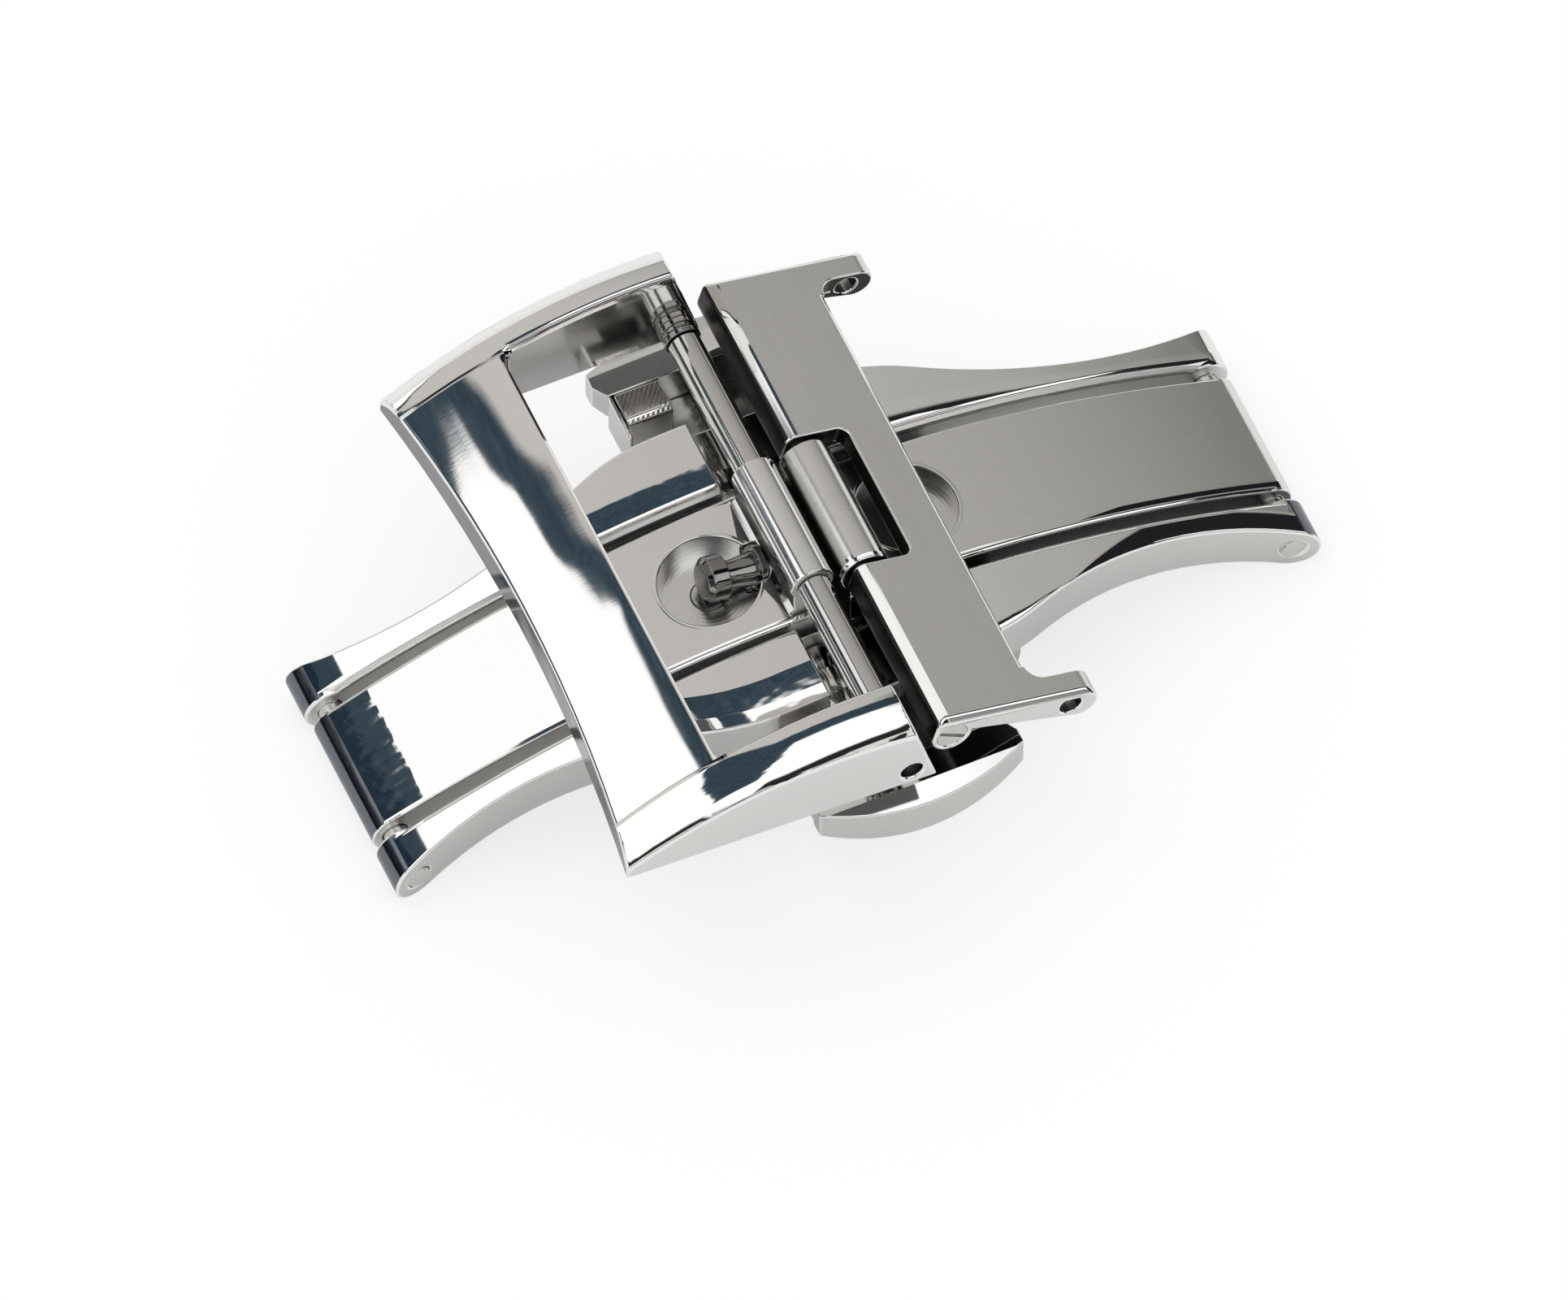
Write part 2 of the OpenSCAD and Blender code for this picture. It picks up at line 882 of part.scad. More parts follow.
module strap_link() {
    color(satin)
        link_place()
            difference() {
                union() {
                    across(-link_half, link_half)
                        link_back();
                    translate([0, -link_half, link_floor])
                        cube([link_len, 2 * link_half, link_t]);
                    both_sides() {
                        across(strap_w / 2, link_half)
                            ear_side();
                        translate([0, 0, link_floor])
                            linear_extrude(link_t)
                                ear_fillet();
                    }
                }
                cross_rod(0, 0, link_pin_r + press_gap, -far, far);
                both_sides()
                    cross_rod(0, 0, link_screw_r + press_gap, link_pin_half, far);
                cross_rod(ear_hole_x, link_top - ear_r, ear_hole_r, -far, far);
                translate([0, 0, -far])
                    linear_extrude(2 * far)
                        slot_plan();
                edge_across(link_len, link_top, link_edge, strap_w / 2 - ear_root);
                for (s = [-1, 1])
                    edge_along(s * link_half, link_top, link_edge, -link_top, link_len + far);
            }
}

// Tube with a threaded hole at each end
module link_pin() {
    color(steel)
        difference() {
            cross_rod(link_x, link_z, link_pin_r, -link_pin_half, link_pin_half);
            cross_rod(link_x, link_z, thread_r, -far, far);
        }
}

// The two identical slotted screws in the ends of the link pin
module link_screws() {
    outer = link_half - link_screw_recess;
    color(steel)
        both_sides()
            difference() {
                union() {
                    cross_rod(link_x, link_z, link_screw_r, link_pin_half, outer);
                    cross_rod(link_x, link_z, thread_r - press_gap, link_pin_half - thread_len, outer);
                }
                translate([link_x, outer, link_z])
                    rotate([0, link_screw_turn, 0])
                        cube([far, 2 * screw_slot, screw_slot], center = true);
            }
}

// Button in plan: curved outer face, straight inner face, cut-back tips
module button_plan() {
    intersection() {
        translate([0, button_cy])
            circle(button_r, $fn = 2 * $fn);
        polygon([
            [-button_half, far],
            [-button_half, button_tip_in],
            [-button_shoulder, button_in],
            [button_shoulder, button_in],
            [button_half, button_tip_in],
            [button_half, far]
        ]);
    }
}

// Far button: flat top that slopes down to the outer face, bowed underside
module button() {
    color(steel)
        difference() {
            intersection() {
                translate([0, 0, button_top - button_h])
                    linear_extrude(button_h)
                        button_plan();
                cross_rod(0, button_top - button_h + button_under_r, button_under_r, 0, far);
            }
            translate([-far / 2, button_tip_y + button_edge, button_top])
                rotate([-button_slope, 0, 0])
                    cube(far);
            cross_rod(0, rod_z, rod_r + press_gap, button_in - rod_hole, button_in + rod_hold);
        }
}

// Far slide: outer plate with two blocks, stem, stop and jaw
module slide(z) {
    plate_in = house_half[1] + travel + side_gap;
    color(satin)
        translate([0, 0, z]) {
            linear_extrude(slide_t) {
                translate([-cheek_x[1], plate_in])
                    square([2 * cheek_x[1], button_in - plate_in]);
                translate([-stem_half, -jaw_y - jaw_w])
                    square([2 * stem_half, plate_in + jaw_y + jaw_w + eps]);
                translate([-stop_half, cavity_half[1] - stop_len])
                    square([2 * stop_half, stop_len]);
                translate([-jaw_half, -jaw_y - jaw_w])
                    square([2 * jaw_half, jaw_w]);
            }
            for (s = [-1, 1]) {
                translate([s * (block_in + block_out) / 2, 0, 0])
                    slide_block(block_top - z);
                across(button_in - cheek_len, button_in)
                    translate([s * (cheek_x[0] + cheek_x[1]) / 2, (block_top - z) / 2])
                        square([cheek_x[1] - cheek_x[0], block_top - z], center = true);
            }
        }
}

// Block that carries the button, bevelled on its inner top edge
module slide_block(tall) {
    half = (block_out - block_in) / 2;
    start = button_in - block_len;
    across_x = [
        [start, 0],
        [start, tall - block_bevel],
        [start + block_bevel, tall],
        [button_in, tall],
        [button_in, 0]
    ];
    translate([-half, 0, 0])
        rotate([90, 0, 90])
            linear_extrude(2 * half)
                polygon(across_x);
}

// Far guide rod, held in the button
module guide_rod() {
    color(steel)
        cross_rod(0, rod_z, rod_r, rod_end, button_in + rod_hold);
}

// Far return spring: turns joined by a thin wall
module spring() {
    start = pocket_end + travel + stack_gap;
    middle_r = spring_r - spring_wire_r;
    pitch = (button_in - start - 2 * spring_wire_r) / spring_turns;
    color(spring_steel)
        about_y(0, rod_z) {
            for (i = [0 : spring_turns])
                translate([middle_r, start + spring_wire_r + i * pitch])
                    circle(spring_wire_r, $fn = spring_facets);
            translate([middle_r - spring_wall / 2, start + spring_wire_r])
                square([spring_wall, spring_turns * pitch]);
        }
}

module near_button() {
    mirror([0, 1, 0])
        button();
}

module near_slide() {
    mirror([0, 1, 0])
        slide(near_slide_z);
}

module near_guide_rod() {
    mirror([0, 1, 0])
        guide_rod();
}

module near_spring() {
    mirror([0, 1, 0])
        spring();
}

module far_button() {
    button();
}

module far_slide() {
    slide(far_slide_z);
}

module far_guide_rod() {
    guide_rod();
}

module far_spring() {
    spring();
}

bridge();
latch_cover();
cover_screws();
left_hinge_pin();
right_hinge_pin();
left_arm();
left_catch_post();
strap_stud();
right_arm();
right_catch_post();
buckle_frame();
cross_bar();
near_sleeve();
far_sleeve();
bar_collars();
strap_link();
link_pin();
link_screws();
near_button();
near_slide();
near_guide_rod();
near_spring();
far_button();
far_slide();
far_guide_rod();
far_spring();
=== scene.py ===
# %% [markdown]
# # A push-button folding clasp in polished and satin steel
# The clasp joins the two ends of a watch strap. It is drawn in CAD first, so this lesson starts from
# exact solids and adds what a workshop adds last: eased edges, coiled springs, grain and polish.
# Everything stays in the frame of the CAD model, in metres. Places on the part are written in
# millimetres and turned into metres with MM.

# %% Load the frame
from math import cos, pi, radians, sin

import bmesh
import bpy
from mathutils import Matrix, Vector
from mathutils.bvhtree import BVHTree

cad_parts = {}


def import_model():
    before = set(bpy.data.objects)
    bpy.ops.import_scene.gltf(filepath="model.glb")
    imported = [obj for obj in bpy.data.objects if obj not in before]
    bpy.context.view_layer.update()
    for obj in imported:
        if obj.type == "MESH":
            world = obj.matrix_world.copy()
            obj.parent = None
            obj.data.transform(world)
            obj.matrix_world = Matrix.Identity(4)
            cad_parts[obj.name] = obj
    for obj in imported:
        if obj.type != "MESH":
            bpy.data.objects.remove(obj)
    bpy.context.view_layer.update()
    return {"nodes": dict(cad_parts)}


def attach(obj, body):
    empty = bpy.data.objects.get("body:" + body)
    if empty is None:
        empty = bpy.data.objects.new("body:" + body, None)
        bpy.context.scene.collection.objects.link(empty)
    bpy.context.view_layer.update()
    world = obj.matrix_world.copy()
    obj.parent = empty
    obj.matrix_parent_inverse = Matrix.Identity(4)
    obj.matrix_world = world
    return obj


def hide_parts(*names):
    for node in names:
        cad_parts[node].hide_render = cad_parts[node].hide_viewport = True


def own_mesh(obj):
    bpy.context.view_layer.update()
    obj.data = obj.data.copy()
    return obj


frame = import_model()
MM = 0.001

# %% [markdown]
# ## Camera
# A macro picture of such a small part is taken from far away with a long lens, so parallel edges stay
# parallel. A flat view without any perspective would look like a drawing. The camera looks down at 57
# degrees from the near left side, and its lens is worked out from the width that it has to see.

# %% Camera
azimuth, elevation = radians(-24.08), radians(57.03)
aim = Vector((-1.53, -1.74, 1.97)) * MM
back = Vector((sin(azimuth) * cos(elevation), -cos(azimuth) * cos(elevation), sin(elevation)))
right = Vector((cos(azimuth), sin(azimuth), 0))
distance = 1500 * MM
seen_width = 54.3 * MM
sensor = 36

lens = bpy.data.cameras.new("macro_lens")
lens.sensor_width = sensor
lens.lens = sensor * distance / seen_width
lens.clip_start, lens.clip_end = 0.1, 20
camera = bpy.data.objects.new("macro_camera", lens)
bpy.context.scene.collection.objects.link(camera)
turned = Matrix((right, back.cross(right), back)).transposed().to_4x4()
camera.matrix_world = Matrix.Translation(aim + back * distance) @ turned
bpy.context.scene.camera = camera
bpy.context.scene.view_settings.view_transform = "Standard"
print("lens", round(lens.lens), "mm from", distance, "m")

# %% [markdown]
# ## A small language for finishes
# Steel needs masks and mixtures of grain. Writing them as sums and products is easier to read than
# placing nodes, so one class wraps a socket and turns operators into Math nodes. A second class holds
# the node tree of one finish and makes every other node.


# %% Sockets that can be added and multiplied
class Wire:
    """One output of a node; operators on it add Math nodes."""

    def __init__(self, tree, socket):
        self.tree, self.socket = tree, socket

    def maths(self, operation, first, second=0.0):
        made = self.tree.nodes.new("ShaderNodeMath")
        made.operation = operation
        for entry, value in zip(made.inputs, (first, second)):
            if isinstance(value, Wire):
                self.tree.links.new(value.socket, entry)
            else:
                entry.default_value = value
        return Wire(self.tree, made.outputs[0])

    def __add__(self, other):
        return self.maths("ADD", self, other)

    def __sub__(self, other):
        return self.maths("SUBTRACT", self, other)

    def __rsub__(self, other):
        return self.maths("SUBTRACT", other, self)

    def __mul__(self, other):
        return self.maths("MULTIPLY", self, other)

    def __truediv__(self, other):
        return self.maths("DIVIDE", self, other)

    def __gt__(self, other):
        return self.maths("GREATER_THAN", self, other)

    def __lt__(self, other):
        return self.maths("LESS_THAN", self, other)

    def __neg__(self):
        return self.maths("MULTIPLY", self, -1.0)

    def power(self, exponent):
        return self.maths("POWER", self, exponent)

    def wave(self):
        return self.maths("SINE", self)

    def size(self):
        return self.maths("ABSOLUTE", self)

    def clamped(self):
        return self.maths("MINIMUM", self.maths("MAXIMUM", self, 0.0), 1.0)

    __radd__ = __add__
    __rmul__ = __mul__


print("a wire adds Math nodes")


# %% Node tree of one finish
class Finish:
    """The node tree of one material or world, with one method for any other node."""

    def __init__(self, owner):
        self.owner = owner
        owner.use_nodes = True
        self.tree = owner.node_tree
        self.tree.nodes.clear()

    def node(self, kind, settings=None, inputs=None, output=0):
        made = self.tree.nodes.new(kind)
        for name, value in (settings or {}).items():
            if name == "stops":
                ramp = made.color_ramp
                while len(ramp.elements) < len(value):
                    ramp.elements.new(0.5)
                for element, (place, shade) in zip(ramp.elements, value):
                    element.position, element.color = place, (*shade, 1)
            else:
                setattr(made, name, value)
        for name, value in (inputs or {}).items():
            if isinstance(value, Wire):
                self.tree.links.new(value.socket, made.inputs[name])
            else:
                made.inputs[name].default_value = value
        return Wire(self.tree, made.outputs[output]) if len(made.outputs) else None

    def mix(self, factor, first, second):
        """Colour between two colours."""
        return self.node("ShaderNodeMix", {"data_type": "RGBA"}, {0: factor, 6: first, 7: second}, 2)

    def place(self, scale=(1, 1, 1), centre=(0, 0, 0), turn=(0, 0, 0)):
        """Object coordinates in millimetres, measured from centre, turned, then stretched."""
        spot = self.node("ShaderNodeTexCoord", output="Object")
        return self.node("ShaderNodeMapping", {"vector_type": "TEXTURE"}, {
            "Vector": spot, "Location": [v * MM for v in centre], "Rotation": turn,
            "Scale": [MM / v for v in scale]})

    def part_of(self, spot, name):
        """One of the three numbers of a place."""
        return self.node("ShaderNodeSeparateXYZ", inputs={"Vector": spot}, output=name)

    def noise(self, where, detail=3.0, roughness=0.55):
        return self.node("ShaderNodeTexNoise", {"noise_dimensions": "3D"}, {
            "Vector": where, "Scale": 1.0, "Detail": detail, "Roughness": roughness})


print("a finish adds any other node")

# %% [markdown]
# ## Soft steps
# A field on the card, a band on a rail and a worn edge all begin and end somewhere. A hard comparison
# would give them saw teeth, and a Color Ramp for each would hide where they lie. Three short functions
# say it in words instead: how far from an edge a field has reached its full strength.


# %% Steps with a soft edge
def fade(distance, soft):
    """0 at an edge and 1 from a distance of soft on."""
    return (distance / soft).clamped()


def after(place, edge, soft):
    """0 up to an edge and 1 beyond it."""
    return fade(place - edge, soft)


def before(place, edge, soft):
    """1 up to an edge and 0 beyond it."""
    return fade(edge - place, soft)


sides = {"near": -1, "far": 1}
print("both sides of the clasp:", sides)

# %% [markdown]
# ## Table
# The clasp lies on white paper. A diffuse plane alone turns grey away from the lamp, and a glowing one
# alone shows no shadow. The paper is therefore a mixture of both for the camera, and almost plain paper
# for every other ray, so that it doesn't light the underside of the steel too much.

# %% Table top
table_half = 2.0
table = bmesh.new()
bmesh.ops.create_grid(table, x_segments=1, y_segments=1, size=table_half)
table_mesh = bpy.data.meshes.new("table_top")
table.to_mesh(table_mesh)
table.free()
table_top = bpy.data.objects.new("table_top", table_mesh)
bpy.context.scene.collection.objects.link(table_top)
print("table top:", len(table_mesh.polygons), "face")

# %% Paper of the table
glow_for_camera, glow_for_mirrors = 0.7, 0.1
paper = Finish(bpy.data.materials.new("table_paper"))
ray = paper.node("ShaderNodeLightPath", output="Is Camera Ray")
mirror_ray = paper.node("ShaderNodeLightPath", output="Is Glossy Ray")
lit = paper.node("ShaderNodeBsdfDiffuse", inputs={"Color": (0.86, 0.86, 0.86, 1)})
glow = paper.node("ShaderNodeEmission", inputs={"Color": (1, 1, 1, 1), "Strength": 1.06})
glow_share = ray * glow_for_camera + mirror_ray * glow_for_mirrors
blank = paper.node("ShaderNodeMixShader", inputs={0: glow_share, 1: lit, 2: glow})
paper.node("ShaderNodeOutputMaterial", inputs={"Surface": blank})
table_mesh.materials.append(paper.owner)
print("paper glows by", glow_for_camera, "for the camera")

# %% [markdown]
# ## Tent of light
# Steel shows the room, not its own colour, so the room is half of the picture. A picture of a real room
# could light it, but no image file is used here. A white tent is the plainest room: light near the
# table and darker above. A few darker things stand outside it, as curtains and stands do in a studio,
# and give the upright walls of the clasp their contrast. The low brown one on the near side is painted
# shade: the front edge of the table in shade.

# %% Tent
room = Finish(bpy.data.worlds.new("tent"))
bpy.context.scene.world = room.owner
camera_ray = room.node("ShaderNodeLightPath", output="Is Camera Ray")
glossy_ray = room.node("ShaderNodeLightPath", output="Is Glossy Ray")
direction = room.node("ShaderNodeTexCoord", output="Generated")
height = room.part_of(direction, "Z")
tent = room.node("ShaderNodeValToRGB", {"stops": [
    (0.0, (0.86, 0.85, 0.83)), (0.30, (0.80, 0.79, 0.77)), (0.62, (0.50, 0.48, 0.455)),
    (1.0, (0.30, 0.29, 0.28))]}, {"Fac": height})
print("tent of", len(room.tree.nodes), "nodes")


# %% Dark things outside the tent
def patch(towards, inner, outer):
    """1 near a direction, fading from the inner to the outer cosine."""
    facing = room.node("ShaderNodeVectorMath", {"operation": "DOT_PRODUCT"},
                       {0: direction, 1: Vector(towards).normalized()}, "Value")
    return ((facing - outer) / (inner - outer)).clamped()


night_blue, black_cloth = (0.012, 0.026, 0.042, 1), (0.012, 0.013, 0.015, 1)
table_shade_brown = (0.06, 0.035, 0.03, 1)
curtain = patch((-0.83, 0.50, 0.10), 0.94, 0.86)
stand = patch((0.80, -0.55, 0.20), 0.975, 0.94)
# Painted shade: a low brown strip near the camera stands for the table's front edge in shade
table_edge_shade = patch((0.20, -0.97, 0.05), 0.90, 0.60) * before(height, 0.15, 0.05)
for thing, shade in ((curtain, night_blue), (stand, black_cloth), (table_edge_shade, table_shade_brown)):
    tent = room.mix(thing, tent, shade)

seen = room.mix(glossy_ray, (0.92, 0.92, 0.92, 1), tent)
seen = room.mix(camera_ray, seen, (1, 1, 1, 1))
sky = room.node("ShaderNodeBackground", inputs={"Color": seen, "Strength": 1.0})
room.node("ShaderNodeOutputWorld", inputs={"Surface": sky})
print("three dark things stand round the tent")

# %% [markdown]
# ## Reflection card
# The white, dark and grey fields on the frame are one painted card that hangs over the table. The
# fields could be painted on the steel, but they would stay in place when a part moves. On a card they
# slide over the steel as they do in a real studio. Only mirror rays see the card, so it neither shades
# the table nor hides the clasp from the camera.

# %% Card
card_height, card_middle_y, card_half = 60, 90, 0.22
card = bmesh.new()
bmesh.ops.create_grid(card, x_segments=1, y_segments=1, size=card_half,
                      matrix=Matrix.Translation(Vector((0, card_middle_y, card_height)) * MM))
card_mesh = bpy.data.meshes.new("reflection_card")
card.to_mesh(card_mesh)
card.free()
reflection_card = bpy.data.objects.new("reflection_card", card_mesh)
bpy.context.scene.collection.objects.link(reflection_card)
print("card hangs", card_height, "mm up")

# %% Places on the card
board = Finish(bpy.data.materials.new("card_paint"))


def wandering(count, detail, reach):
    """Slow noise, so many waves to the millimetre, that moves an edge by up to reach either way."""
    return (board.noise(board.place(scale=(count, count, count)), detail=detail) - 0.5) * (2 * reach)


sway, ripple = wandering(0.045, 1.0, 4), wandering(0.22, 2.0, 1.5)
card_spot = board.place()
card_x = board.part_of(card_spot, "X") + sway + ripple
card_y = board.part_of(card_spot, "Y") + sway * 0.6
print("places on the card take", len(board.tree.nodes), "nodes")

# %% Fields of the left half
# The white side ends at white_edge and bends to the left beyond bend_y
white_edge, bend_y, bend_length, bend_shift = -32.5, 30, 60.0, 57
past = (card_x - white_edge + after(card_y, bend_y, bend_length) * bend_shift) * 0.8
white = before(past, 0.6, 0.6)
# A dark band follows that edge and widens towards the camera
band_width = before(card_y, 20, 30.0) * 12 + 6.5
dark_band = after(past, -0.2, 0.6) * before(past, band_width, 1.6)
# The far left is dark between a slanting line and a rising one
far_line = after(card_x, -56, 30.0) * -9.6 + 48.2
far_limit = before(card_x, -90, 200.0) * 120 + 62
far_left = before(card_x, -40, 2.0) * after(card_y, far_line, 0.8) * before(card_y, far_limit, 4.0)
print("left half: white edge at", white_edge, "mm")

# %% Fields of the near and right side
# The near side is white, then black at its very end, and a strip of dark blue lies behind it
near_line = before(card_x, -10, 10.0) * -40 - 17
near_side = before(card_y, near_line, 2.0) * before(card_x, 125, 8.0)
near_end = before(card_y, -80, 6.0)
centre = after(card_x, -18, 2.0) * before(card_y, -3, 2.0)
# A black cloth lies between the near side and the grey, and comes nearer on the right
right_line = after(card_x, 82, 16.0) * -80 - 24
right_side = after(card_x, 14, 10.0) * before(card_y, 5, 3.0) * after(card_y, right_line, 4.0)
print("seven fields take", len(board.tree.nodes), "nodes")

# %% Paint of the card
warm_grey = board.node("ShaderNodeValToRGB", {"stops": [
    (0.0, (0.58, 0.565, 0.54)), (0.32, (0.43, 0.42, 0.40)), (0.6, (0.27, 0.265, 0.25)),
    (1.0, (0.06, 0.06, 0.055))]}, {"Fac": after(card_x, -20, 220.0)})
felt = board.noise(board.place(scale=(0.5, 2.6, 1)), detail=2.0)
blue_felt = board.mix(after(felt, 0.42, 0.35), (0.018, 0.035, 0.052, 1), (0.085, 0.125, 0.155, 1))
white_paint, soot = (1.14, 1.14, 1.14, 1), (0.02, 0.02, 0.02, 1)
painted = warm_grey
for field, shade in ((dark_band, blue_felt), (white, white_paint), (centre, blue_felt),
                     (near_side, white_paint), (near_end, soot), (far_left, blue_felt),
                     (right_side, black_cloth)):
    painted = board.mix(field, painted, shade)

shine = board.node("ShaderNodeEmission", inputs={"Color": painted, "Strength": 1.0})
clear = board.node("ShaderNodeBsdfTransparent")
shown = board.node("ShaderNodeLightPath", output="Is Glossy Ray")
pick = board.node("ShaderNodeMixShader", inputs={0: shown, 1: clear, 2: shine})
board.node("ShaderNodeOutputMaterial", inputs={"Surface": pick})
card_mesh.materials.append(board.owner)
print("card painted with", len(board.tree.nodes), "nodes")

# %% [markdown]
# ## Lamp
# The tent lights evenly and gives no shadow. One large round lamp at the far left adds a soft one. It
# could be a sun, but a sun's shadow has hard edges. Mirror rays don't see the lamp, so it leaves no
# round spot on the steel.

# %% Soft lamp
lamp_from = Vector((-0.25, 0.30, 0.75))
lamp_data = bpy.data.lights.new("soft_lamp", "AREA")
lamp_data.shape = "DISK"
lamp_data.size = 0.5
lamp_data.energy = 0.9
lamp = bpy.data.objects.new("soft_lamp", lamp_data)
lamp.location = lamp_from
lamp.rotation_mode = "QUATERNION"
lamp.rotation_quaternion = lamp_from.to_track_quat("Z", "Y")
lamp.visible_glossy = False
bpy.context.scene.collection.objects.link(lamp)
print("lamp", lamp_data.energy, "W")

# %% [markdown]
# ## Grain
# All parts are the same stainless steel and differ by the last tool that touched them. Satin faces keep
# a fine grain in one direction, milled walls keep the path of the cutter, and turned floors keep rings.
# Photographs of grain would need image files and would stretch round corners. Noise and waves in object
# coordinates are solid, so they run through the part as real grain seems to.


# %% Patterns left by tools
def along(x, y, z, detail=3.0):
    """Grain stretched by these counts per millimetre."""
    return lambda finish: finish.noise(finish.place(scale=(x, y, z)), detail=detail)


def axis(finish, name):
    """One coordinate in millimetres."""
    return finish.part_of(finish.place(), name)


def away_from(finish, x, y):
    """Distance in millimetres from an upright axis at x, y."""
    spot = finish.place(centre=(x, y, 0))
    flat = finish.node("ShaderNodeVectorMath", {"operation": "MULTIPLY"}, {0: spot, 1: (1, 1, 0)})
    return finish.node("ShaderNodeVectorMath", {"operation": "LENGTH"}, {0: flat}, "Value")


def marks(run, pitch):
    """A wave between 0 and 1 with one top every pitch."""
    return (run * (2 * pi / pitch)).wave() * 0.5 + 0.5


def rings(x, y, pitch):
    """Turned rings round an upright axis at x, y."""
    return lambda finish: marks(away_from(finish, x, y), pitch)


def strokes(turn, pitch):
    """Straight cutter marks, one every pitch, with uneven depth."""
    def pattern(finish):
        uneven = finish.noise(finish.place(scale=(6, 0.6, 0.6), turn=turn))
        return marks(finish.part_of(finish.place(turn=turn), "X"), pitch) * uneven
    return pattern


print("patterns: grain, rings and strokes")

# %% [markdown]
# ## Rolled edges
# A polishing wheel pulls the top of a part down over its last millimetre, and that narrow slope mirrors
# another field of the card than the flat top does. These are the fine white and black lines along the
# rails. They could be cut into the meshes, but a slope of that size needs only a tilted normal. Each
# pattern here is a height in millimetres that feeds a Bump node.


# %% One rolled edge
def lip(distance, width, slope, onset=1.3):
    """A top that rolls off within a width of its edge; distance is measured inwards."""
    reach = width + 0.001
    near = (1.0 - distance / reach).clamped()
    return near.power(onset) * reach * (-slope / onset)


# A top tilted by dark_slope mirrors the card's dark side, and a line on top of it has to be steeper
dark_slope = 0.42
# The slope of a lip with this onset is there almost at once
at_once = 1.05
print("a lip 1 mm wide is", round(dark_slope / at_once, 2), "mm high")


# %% Left ends of rails and arm
rail_end_x, arm_end_x = -17.4, -17.3


def settled_end(finish):
    """A polisher leans on the left end: its top stays at one slope instead of bowing on."""
    start, length, bow_radius, lean, tilt = -8, 7.6, 41.0, 0.185, 0.05
    x, y = axis(finish, "X"), axis(finish, "Y")
    run = before(x, start, length) * length
    return run * run / (2 * bow_radius) - run * lean + y * before(x, start, 0.5) * tilt


def rail_ends(finish):
    """The left ends roll over their last 1.6 mm."""
    return lip(axis(finish, "X") - rail_end_x, 1.6, 0.5, 1.4)


def end_grain(finish):
    """The end of the left arm leans outwards and keeps coarse slanting strokes."""
    width, streak_depth = 1.85, 0.008
    ragged = finish.noise(finish.place(scale=(0.8, 1.6, 0.8)), detail=1.0) - 0.5
    edge = axis(finish, "X") - arm_end_x + ragged * 0.12
    streaks = finish.noise(finish.place(scale=(3.2, 0.7, 1.0), turn=(0, 0, radians(24))), detail=2.0)
    return lip(edge, width, dark_slope, at_once) + streaks * before(edge, width, 0.1) * streak_depth


print("left ends lie at", rail_end_x, "and", arm_end_x, "mm")


# %% Long edges of the rails
# Inner faces, the strap window, the start of the waist and the right end of the white lines
rail_inner_y = 3.02
window_from, window_to = -7.9, 0
waist_from, line_end_x = 8, 10.8


def arc(run, radius):
    """Height of a circle above its middle, at this run along it."""
    return (radius * radius - run.power(2.0)).power(0.5)


def rail_half(x):
    """Half width of the bridge: a flared middle, then a hollow waist."""
    flare_x, flare_r, flare_sink = 3.198, 8.0, 1.85
    waist_x, waist_r, waist_y = 12.8, 15.0, 19.05
    meeting_x, reach = 6.54, 10.0
    flare = arc(after(x, flare_x, reach) * reach, flare_r) - flare_sink
    waist = waist_y - arc(x - waist_x, waist_r)
    return flare + (waist - flare) * (x > meeting_x)


def inner_lips(x, y, waver, window):
    """Edges towards the arms: a dark band with a white line in it, narrower towards the right."""
    inside = y - rail_inner_y
    right = after(x, window_to, 0.5)
    dark = lip(inside + waver, window * 1.35, dark_slope, at_once)
    dark = dark + lip(inside, right * (0.6 + before(x, 12, 9.0) * 0.9), dark_slope, 1.5)
    line = lip(inside, window * 0.42, 0.29, at_once)
    return dark + line + lip(inside, right * before(x, line_end_x, 5.0) * 0.42, 0.36, 1.1)


def outer_lips(x, y, waver, window):
    """Edges towards the buttons, wide in the window, narrow on the flare and dark on the waist."""
    edge = rail_half(x.size()) + y
    flare, waist = after(x, window_to, 0.5) * before(x, 8.4, 3.0), after(x, waist_from, 3.5)
    dark = lip(edge + waver, window * 1.6, 0.40, at_once) + lip(edge, flare * 0.7, dark_slope, 2.0)
    line = lip(edge, window * 0.60, 0.27, at_once) + lip(edge, flare * 0.22, 0.3, 1.1)
    return dark + line + lip(edge, waist * 0.95, dark_slope, 1.2)


def rail_lips(finish):
    """Rolled edges of both rails, all of them towards the near side."""
    x, y = axis(finish, "X"), axis(finish, "Y")
    waver = (finish.noise(finish.place(scale=(1.3, 1.8, 1.3)), detail=1.0) - 0.5) * 0.03
    window = after(x, window_from, 0.2) * before(x, window_to, 0.3)
    return inner_lips(x, y, waver, window) * (y > 0) + outer_lips(x, y, waver, window) * (y < 0)


print("rails roll off along four edges")


# %% Edges of frame, arms and link
leg_inner_y, crown_edge_x = 9.1, -7.3


def window_lip(finish):
    """The far leg of the frame rolls into the strap window."""
    x, y = axis(finish, "X"), axis(finish, "Y")
    on_leg = (y > leg_inner_y - 0.1) * after(x, crown_edge_x, 0.3)
    return lip(y - leg_inner_y, 0.34, 0.75, 1.1) * on_leg


def arm_edge(finish, half, taper):
    """Distance from the near edge of an arm that narrows from the middle to its hinge."""
    x, y = axis(finish, "X"), axis(finish, "Y")
    return y + half - x.size() * taper


